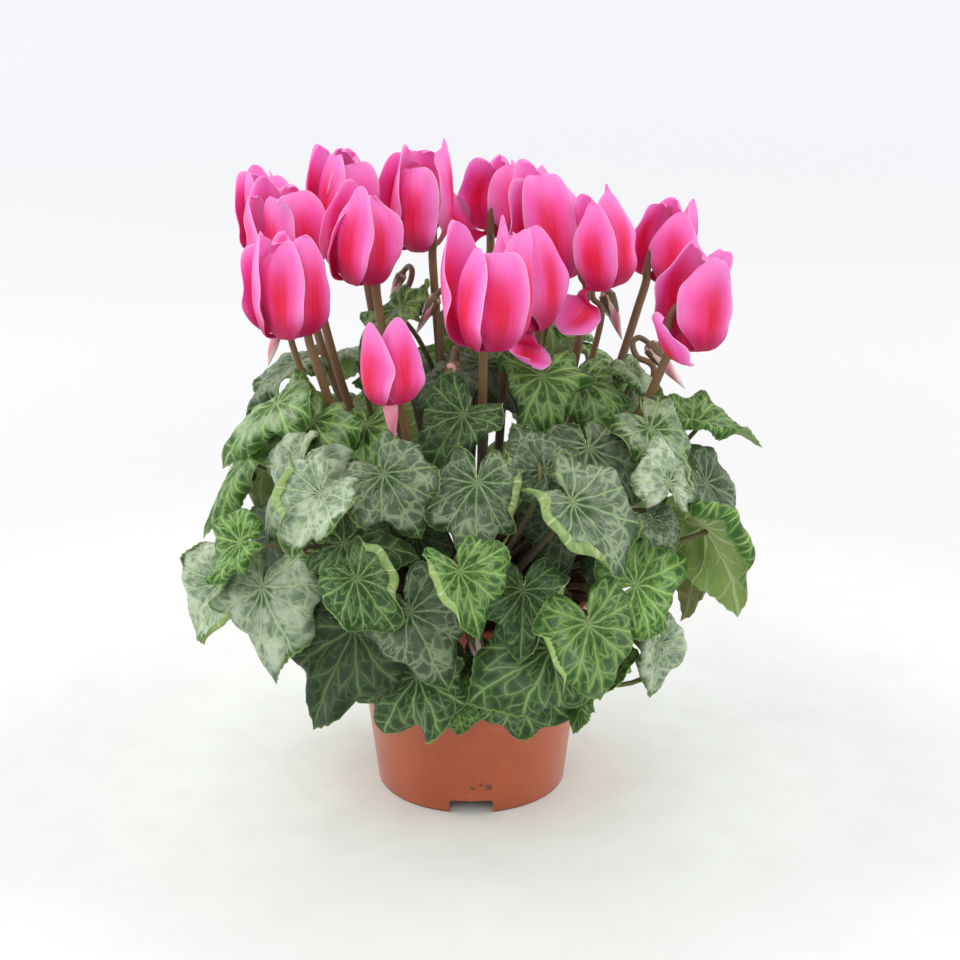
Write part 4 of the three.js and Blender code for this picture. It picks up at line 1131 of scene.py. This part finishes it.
# Calyxes.
def add_calyx(shape, at, turn, radius, length, skin, tone):
    """A cup with five soft ribs."""
    profile = [(0, 0.1), (0.8, 0), (0.95, 0.12), (1, 0.4), (0.8, 0.8), (0.45, 0.98), (0, 1)]
    cup = [(r * radius, z * length) for r, z in profile]
    add_lathe(shape, cup, SIDES["cup"], skin, turn, at, lambda a, z: 1 + 0.07 * np.cos(5 * a), tone=tone)


def add_sepals(shape, at, turn, radius, length, reach, skin, tone):
    """Five sepals that lie along what the calyx holds. reach is how far out they end."""
    across = np.linspace(-1, 1, 7)[None, :]
    t = np.linspace(0, 1, 9)[:, None]
    swell = 0.65 + 0.35 * np.sin(math.pi * np.minimum(1, t * 1.6))
    side = across * 0.62 * radius * (1 - 0.97 * t) ** 0.6 * swell
    out = radius * (1 + (reach - 1) * t**1.5) + 0.25 - side**2 / (2.4 * radius)
    for k in range(5):
        c, s = math.cos(2 * math.pi * (k + 0.3) / 5), math.sin(2 * math.pi * (k + 0.3) / 5)
        grid = np.stack([out * c - side * s, out * s + side * c, -length * t + 0 * across], axis=-1)
        grid = grid @ turn.T + at
        half = np.full(grid.shape[:2], 0.16)
        add_sheet(shape, grid, facing_of(grid), half, (skin, skin, skin), np.zeros_like(grid), tone)


# Blooms.
PETAL_UP = np.append(np.linspace(0, 0.6, 17)[:-1], 0.6 + 0.3995 * np.sin(np.linspace(0, 90, 15) * RAD))
PETAL_ACROSS = np.sin(np.linspace(-90, 90, 19) * RAD)


def add_petal(shape, bloom, petal, tone):
    t = PETAL_UP[:, None] + 0 * PETAL_ACROSS
    across = PETAL_ACROSS + 0 * t
    # How far a point lies from the petal's midline, as a share of the widest.
    off = across * petal_half_width(bloom, t) / PETAL_WIDTH
    # One margin lies behind the next petal, and stays flat there.
    shown = across > 0
    side = off * np.abs(off) * np.where(shown, 1, 0.35)
    phase = chance.uniform(0, 6.28, 6)
    # In millimetres: long and short waves up the margins, waves across, and a tip that leans in or out.
    ruffle = 2.1 * side * np.sin(8 * t + phase[0]) * smooth(0.15, 0.5, t)
    ruffle += 0.9 * side * np.sin(19 * t + phase[1]) * smooth(0.3, 0.6, t)
    ruffle += 1.5 * np.cos(3.4 * off + phase[2]) * smooth(0.4, 0.8, t)
    ruffle += 2.6 * chance.uniform(-0.2, 1) * smooth(0.7, 1, t)
    pleat = 0.16 * np.cos(off * 14 + phase[3]) * smooth(0.02, 0.2, t) * (1 - across**4)
    crease = -0.3 * np.exp(-((off / 0.2) ** 2)) * smooth(0.05, 0.3, t) * (1 - smooth(0.6, 1, t))
    # The margins bend outwards here and there.
    reflexed = 1.7 * smooth(0.62, 1, np.abs(across)) * smooth(0.25, 0.5, t)
    reflexed = reflexed * (0.45 + 0.55 * np.sin(4.4 * t + np.sign(across) + phase[5]))
    tucked = -3.3 * smooth(0.4, 1, np.abs(across)) * smooth(0.25, 0.5, t)
    reflexed = np.where(shown, reflexed, tucked)
    # The fine petal has broader shoulders than the solid, and its top is uneven.
    wide = across * np.where(shown, 1.06 + 0.14 * smooth(0.5, 0.85, t), 1)
    uneven = 1 + 0.07 * np.sin(3.6 * off + phase[4]) * smooth(0.5, 1, t)
    broad = dict(petal, tall=petal["tall"] * uneven)
    grid = petal_points(bloom, broad, t, wide, ruffle + pleat + crease + reflexed)
    grid = grid @ bloom["turn"].T + bloom["at"]
    half = PETAL_HALF * (1 - 0.5 * np.abs(across) ** 3) * (1 - 0.35 * smooth(0.7, 1, t))
    place = np.stack([across, t, 0 * t], axis=-1)
    add_sheet(shape, grid, facing_of(grid), half, (0, 0, 0), place, tone)


def add_tube(shape, bloom):
    """The short tube that the petals spring from, its mouth down and its rim in five soft lobes."""
    mouth, top, length = TUBE["mouth"], TUBE["top"], TUBE["length"]
    profile = [(0, 5), (mouth - 2.4, 2), (mouth - 2.1, -0.4), (mouth - 1.3, -0.9)]
    profile += [(mouth * 0.97, 0.2), (mouth * 0.99, 1.4), (mouth * 0.86, 5)]
    profile += [(top, length - 0.5), (top * 0.8, length), (0, length)]

    def lobes(a, z):
        return 1 + 0.05 * np.cos(5 * a + 0.9) * (1 - smooth(1, 9, z))

    soft = rounded(profile, 0.6, 3)
    spot = (bloom["turn"], bloom["at"])
    add_lathe(shape, soft, SIDES["tube"], 0, *spot, lobes, (0, 0.03, 0), (0, 0, 0.3))


def add_nose(shape, bloom):
    """The petals that are still rolled up: a twisted spike under the bloom's mouth."""
    drop = bloom["nose"]
    profile = [(0, -drop), (0.7, -0.96 * drop), (1.5, -0.74 * drop), (2.6, -0.42 * drop)]
    profile += [(3.3, -0.2 * drop), (3.2, 0), (2.9, 6), (0, 6)]

    def folds(a, z):
        return 1 + 0.09 * np.cos(3 * a + 0.22 * z)

    spike = rounded(profile, 1.2, 3)[::-1]
    add_lathe(shape, spike, SIDES["bud"], 1, bloom["turn"], bloom["at"], folds, tone=(0.8, 0, 0.7))


def grow_stalk(shape, root, hook, at, turn, radii, steps, tone):
    """Adds a hooked stalk, and fills the room that it takes."""
    curve = stalk_curve(root, hook, at, turn)
    fill(spline(curve, np.arange(73) / 72), BALL["stalk"])
    add_stem(shape, spline(curve, np.linspace(0, 1, steps)), radii, SIDES["stalk"], 0, tone)


def make_bloom(number, bloom, root):
    at, turn = bloom["at"], bloom["turn"]
    corolla = Shape()
    for petal in bloom["petals"]:
        add_petal(corolla, bloom, petal, (0, 0, chance.uniform()))
        t, across = np.meshgrid([0.1, 0.28, 0.46, 0.64, 0.82, 0.97], [-0.9, -0.3, 0.3, 0.9])
        fill(petal_points(bloom, petal, t, across) @ turn.T + at, BALL["petal"])
    add_tube(corolla, bloom)
    if bloom["nose"]:
        add_nose(corolla, bloom)
    corolla.piece(f"petals_{number:02d}", [PETAL, BUD], "petal", f"bloom_{number:02d}")

    stalk = Shape()
    tone = (0, 0, chance.uniform())
    grow_stalk(stalk, root, BLOOM_HOOK, at, turn, STALK, LENGTHS["stalk"], tone)
    cup = turn @ np.array([0, 0, TUBE["length"] + GAP]) + at
    add_calyx(stalk, cup, turn, *CUP, 1, tone)
    add_sepals(stalk, cup, turn, *SEPALS, 1, tone)
    stalk.piece(f"stalk_{number:02d}", [STALK_SKIN, SEPAL], "stalk", f"flower_stalk_{number:02d}")


# Buds.
def add_bud(shape, row, root, hook):
    at = np.array(row[:3], float)
    length, bearing, slope = row[3:]
    turn = bud_frame(at, bearing, slope)
    tone = (0, 0, chance.uniform())
    grow_stalk(shape, root, hook, at, turn, BUD_STALK, LENGTHS["bud"], tone)
    fill([at + heading(bearing, -slope) * length * t for t in (0.2, 0.5, 0.8, 1)], BALL["petal"])
    radius = length * 0.15
    sides = [(0, 1), (0.5, 0.95), (0.85, 0.5), (1, -0.1), (0.93, -0.3), (0.62, -0.56), (0.34, -0.78)]
    sides += [(0.12, -0.95), (0, -1)]
    profile = [(r * radius, z * 2.4 if z > 0 else z * length) for r, z in sides]

    def rolled(a, z):
        return 1 + 0.1 * np.cos(2 * a + 0.34 * z) + 0.04 * np.cos(5 * a - 0.5 * z)

    add_lathe(shape, rounded(profile, 1.5, 4), SIDES["bud"], 1, turn, at, rolled, tone=tone)
    add_calyx(shape, at + turn @ np.array([0, 0, -1.2]), turn, radius * 0.9, 3.8, 2, tone)
    add_sepals(shape, at, turn, radius * 1.02, length * 0.42, 0.8, 2, tone)


# Leaves.
# A fine blade closes its notch further than the solid does.
BLADE_ANGLES = np.linspace(-REACH_BACK - 9, REACH_BACK + 9, 117)
BLADE_SHARES = np.array([0, 5, 12, 20, 28, 36, 44, 52, 60, 67, 73, 78, 82.5, 87, 91, 95, 98, 100]) / 100
# A fine blade reaches this much further than the solid's, for its margin bends down.
BLADE_MORE = 1.13
# Leaves that fill the dome where the solids leave gaps, and how much larger again they are drawn.
FULLER = {
    ("top", 0): 1.4,
    ("top", 1): 1.3,
    ("left_shoulder", 1): 1.2,
    ("left_shoulder", 2): 1.15,
    ("left_upper", 3): 1.3,
    ("right_upper", 2): 1.3,
}
# Margins that roll up and show the pale underside, or under where the turn is below 0: by spray and
# leaf, the middle and the half-width of each rolled stretch in degrees round the leaf, how far it
# turns, and where on the way out it starts.
ROLLED = {
    ("front_middle", 0): [(-85, 62, 170, 0.72)],
    ("front_upper", 0): [(78, 34, 150, 0.78)],
    ("front_upper", 1): [(-75, 45, 130, 0.75)],
    ("front_middle", 1): [(60, 45, 120, 0.8)],
    ("left_outer", 0): [(-105, 36, 150, 0.82)],
    ("left_outer", 1): [(80, 34, 110, 0.8)],
    ("left_middle", 2): [(-95, 55, 120, 0.74), (100, 40, -90, 0.7)],
    ("left_middle", 3): [(75, 60, 165, 0.72)],
    ("front_left_low", 0): [(-60, 34, 120, 0.8)],
    ("front_right_low", 1): [(70, 40, 140, 0.78)],
    ("right_middle", 1): [(-70, 30, 100, 0.82)],
    ("left_upper", 1): [(-60, 50, 140, 0.75)],
    ("right_upper", 1): [(70, 40, 120, 0.8)],
    ("right_shoulder", 0): [(-70, 36, 110, 0.82)],
    ("right_outer", 0): [(95, 62, -125, 0.62), (-95, 62, -125, 0.62)],
    ("right_outer", 1): [(90, 50, -100, 0.7)],
    ("right_middle", 2): [(90, 50, -100, 0.66), (-90, 50, -100, 0.66)],
    ("left_outer", 2): [(100, 40, -80, 0.72), (-100, 40, -80, 0.72)],
}


def bend_margin(leaf, angle, share, phase):
    """How far out and how high a blade's points come when its margin bends down or is rolled up."""
    turn = -0.65 - 0.65 * np.sin(3 * angle * RAD + phase[0]) - 0.4 * np.sin(7 * angle * RAD + phase[1])
    turn = turn * (0.25 + 0.75 * smooth(8, 30, np.abs(angle)))
    start = 0.74 + 0 * angle
    for middle, half, over, begin in leaf["rolled"]:
        rolled = 1 - smooth(0.65 * half, 1.25 * half, np.abs(angle - middle))
        turn = turn + (over * RAD - turn) * rolled
        start = start + (begin - start) * rolled
    past = np.maximum(share - start, 0)
    way = turn * past / (1 - start)
    way = np.where(np.abs(way) < 1e-4, 1e-4, way)
    rise = past * (1 - np.cos(way)) / way
    return np.minimum(share, start) + past * np.sin(way) / way, rise * outline(angle) * leaf["size"]


def add_blade(shape, leaf, axes):
    share = BLADE_SHARES[:, None] + 0 * BLADE_ANGLES
    angle = BLADE_ANGLES + 0 * share
    size = leaf["size"]
    phase = chance.uniform(0, 6.28, 5)
    teeth = 0.014 * (-1) ** np.arange(len(BLADE_ANGLES)) * chance.uniform(0.5, 1.3, len(BLADE_ANGLES))
    toothed = share * (BLADE_MORE * leaf["fuller"] + teeth * smooth(0.94, 1, share))
    reach, rise = bend_margin(leaf, angle, toothed, phase)
    # Between the veins the blade swells, and further out it is waved and ruffled.
    cell = np.abs(np.mod(angle / VEIN_STEP + 0.5, 1) - 0.5) * 2
    inside = smooth(0.05, 0.4, share) * (1 - smooth(0.8, 1, share))
    lift = rise + 0.9 * np.sqrt(cell) * np.sin(math.pi * share) * smooth(0.05, 0.4, share)
    lift = lift + 0.3 * np.sin(share * 30 + cell * 5) * inside
    lift = lift + 0.045 * size * share**2 * np.sin(2 * angle * RAD + phase[2])
    ruffle = np.sin(7 * angle * RAD + phase[3]) + 0.6 * np.sin(12 * angle * RAD + phase[4])
    lift = lift + 0.026 * size * share**3 * ruffle
    grid = blade_points(leaf, axes, angle, reach, lift)
    half = BLADE_HALF * (1 - 0.55 * share**3)
    r = share * outline(angle)
    place = np.stack([r * np.cos(angle * RAD), r * np.sin(angle * RAD), share], axis=-1)
    look = np.clip(np.array(LOOKS[leaf["look"]]) + chance.uniform(-0.08, 0.08, 2), 0, 1)
    # The third tone is a random seed, 1 more on deep leaves and look h, whose skins paint shade on them.
    tone = (*look, chance.uniform() + (1 if leaf["deep"] or leaf["look"] == "h" else 0))
    add_sheet(shape, grid, facing_of(grid, axes[2]), half, (0, 1, 1), place, tone, pointed=True)


def make_leaves():
    sprays = FRONT_SPRAYS | {f"back_{n + 1:02d}": back_spray(n) for n in range(len(BACK_ROOTS))}
    grown = []
    for name, (root, looks, rows) in sprays.items():
        leaves = [as_leaf(row, look) for row, look in zip(rows, looks)]
        for number, leaf in enumerate(leaves):
            leaf["rolled"] = ROLLED.get((name, number), [])
            leaf["fuller"] = FULLER.get((name, number), 1)
        grown.append((name, crown_spot(*root), leaves, Shape()))
    # The leaves that hang deep inside take the room that the others leave.
    for deep in (False, True):
        for spray, (_, root, leaves, shape) in enumerate(grown):
            for leaf in [leaf for leaf in leaves if leaf["deep"] == deep]:
                axes, curve = settle(leaf, root, spray)
                add_blade(shape, leaf, axes)
                tone = (0, 0, chance.uniform())
                line = bezier(curve, np.linspace(0, 1, LENGTHS["petiole"]))
                add_stem(shape, line, PETIOLE, SIDES["petiole"], 2, tone)
    for name, _, _, shape in grown:
        shape.piece(f"leaves_{name}", [UPPER, UNDER, PETIOLE_SKIN], "leaf", f"leaf_spray_{name}")


def make_plant():
    roots = flower_roots([*BLOOMS, *BUDS, LOW_BUDS[0]])
    for i, row in enumerate(BLOOMS):
        make_bloom(i + 1, as_bloom(row, i + 1), roots[i])
    clumps = [(f"{i + 1:02d}", f"bud_{i + 1:02d}", [row], BUD_HOOK) for i, row in enumerate(BUDS)]
    clumps.append(("front_low", "buds_front_low", LOW_BUDS, LOW_BUD_HOOK))
    for (name, node, rows, hook), root in zip(clumps, roots[len(BLOOMS) :]):
        shape = Shape()
        for row in rows:
            add_bud(shape, row, root, hook)
        shape.piece(f"budding_{name}", [STALK_SKIN, BUD, SEPAL], "bud", node)
    make_leaves()


# Floor, light and camera.
PHOTO = {"size": 960, "focal": 2276}
CAMERA = {"at": (4.3, -1030, 513), "down": 19.2}
FLOOR_REACH = 9000
LIT_POINT = (0, 0, 0.15)
# Each light: where it is, how wide, in metres, how strong in watts, and its colour.
LIGHTS = {
    "key": ((-1.5, 0.1, 1.7), 1.3, 10, (1, 0.99, 0.97)),
    "side": ((1.5, 0.0, 1.5), 1.2, 7, (0.98, 0.99, 1)),
    "fill": ((-0.6, -1.5, 1.7), 1.4, 9, (1, 0.99, 0.98)),
}


def make_floor():
    corners = np.array([(-1, -1, 0), (1, -1, 0), (1, 1, 0), (-1, 1, 0)]) * FLOOR_REACH
    add_object("studio_floor", as_mesh("studio_floor", corners, [(0, 1, 2, 3)], [floor_skin()]))


def make_lights():
    for name, (at, size, watts, colour) in LIGHTS.items():
        light = bpy.data.lights.new(name, "AREA")
        light.shape = "DISK"
        light.size = size
        light.energy = watts
        light.color = colour
        made = add_object(name, light)
        made.location = at
        aim = Vector(LIT_POINT) - Vector(at)
        made.rotation_euler = aim.to_track_quat("-Z", "Y").to_euler()


def make_studio():
    world = bpy.data.worlds.new("studio")
    world.use_nodes = True
    bpy.context.scene.world = world
    graph = Graph(world.node_tree)
    back = graph.tree.nodes["Background"].inputs
    back["Color"].default_value = (0.985, 0.99, 1.0, 1)
    # White walls on both sides throw more light, and the camera's side is a little darker.
    x, y, _ = graph.split(graph.node("TexCoord", give="Generated"))
    graph.feed(back["Strength"], x * x * 0.6 + (y * 0.05 + 0.88))
    bpy.context.scene.view_settings.view_transform = "Standard"


def make_camera():
    lens = bpy.data.cameras.new("camera")
    lens.sensor_fit = "HORIZONTAL"
    lens.angle = 2 * math.atan(PHOTO["size"] / 2 / PHOTO["focal"])
    lens.clip_start = 0.05
    made = add_object("camera", lens)
    made.location = Vector(CAMERA["at"]) * MM
    made.rotation_euler = ((90 - CAMERA["down"]) * RAD, 0, 0)
    bpy.context.scene.camera = made


UPPER = leaf_upper()
UNDER = leaf_under()
PETIOLE_SKIN = stem_skin("leaf_stalk", 0x4E352A, 0x66683A, 0x5A3C2E)
STALK_SKIN = stem_skin("flower_stalk", 0x84643F, 0x60543A, 0x64462F)
PETAL = petal_skin()
BUD = bud_skin()
SEPAL = sepal_skin()

make_pot()
make_compost()
make_tuber()
make_plant()
make_floor()
make_lights()
make_studio()
make_camera()
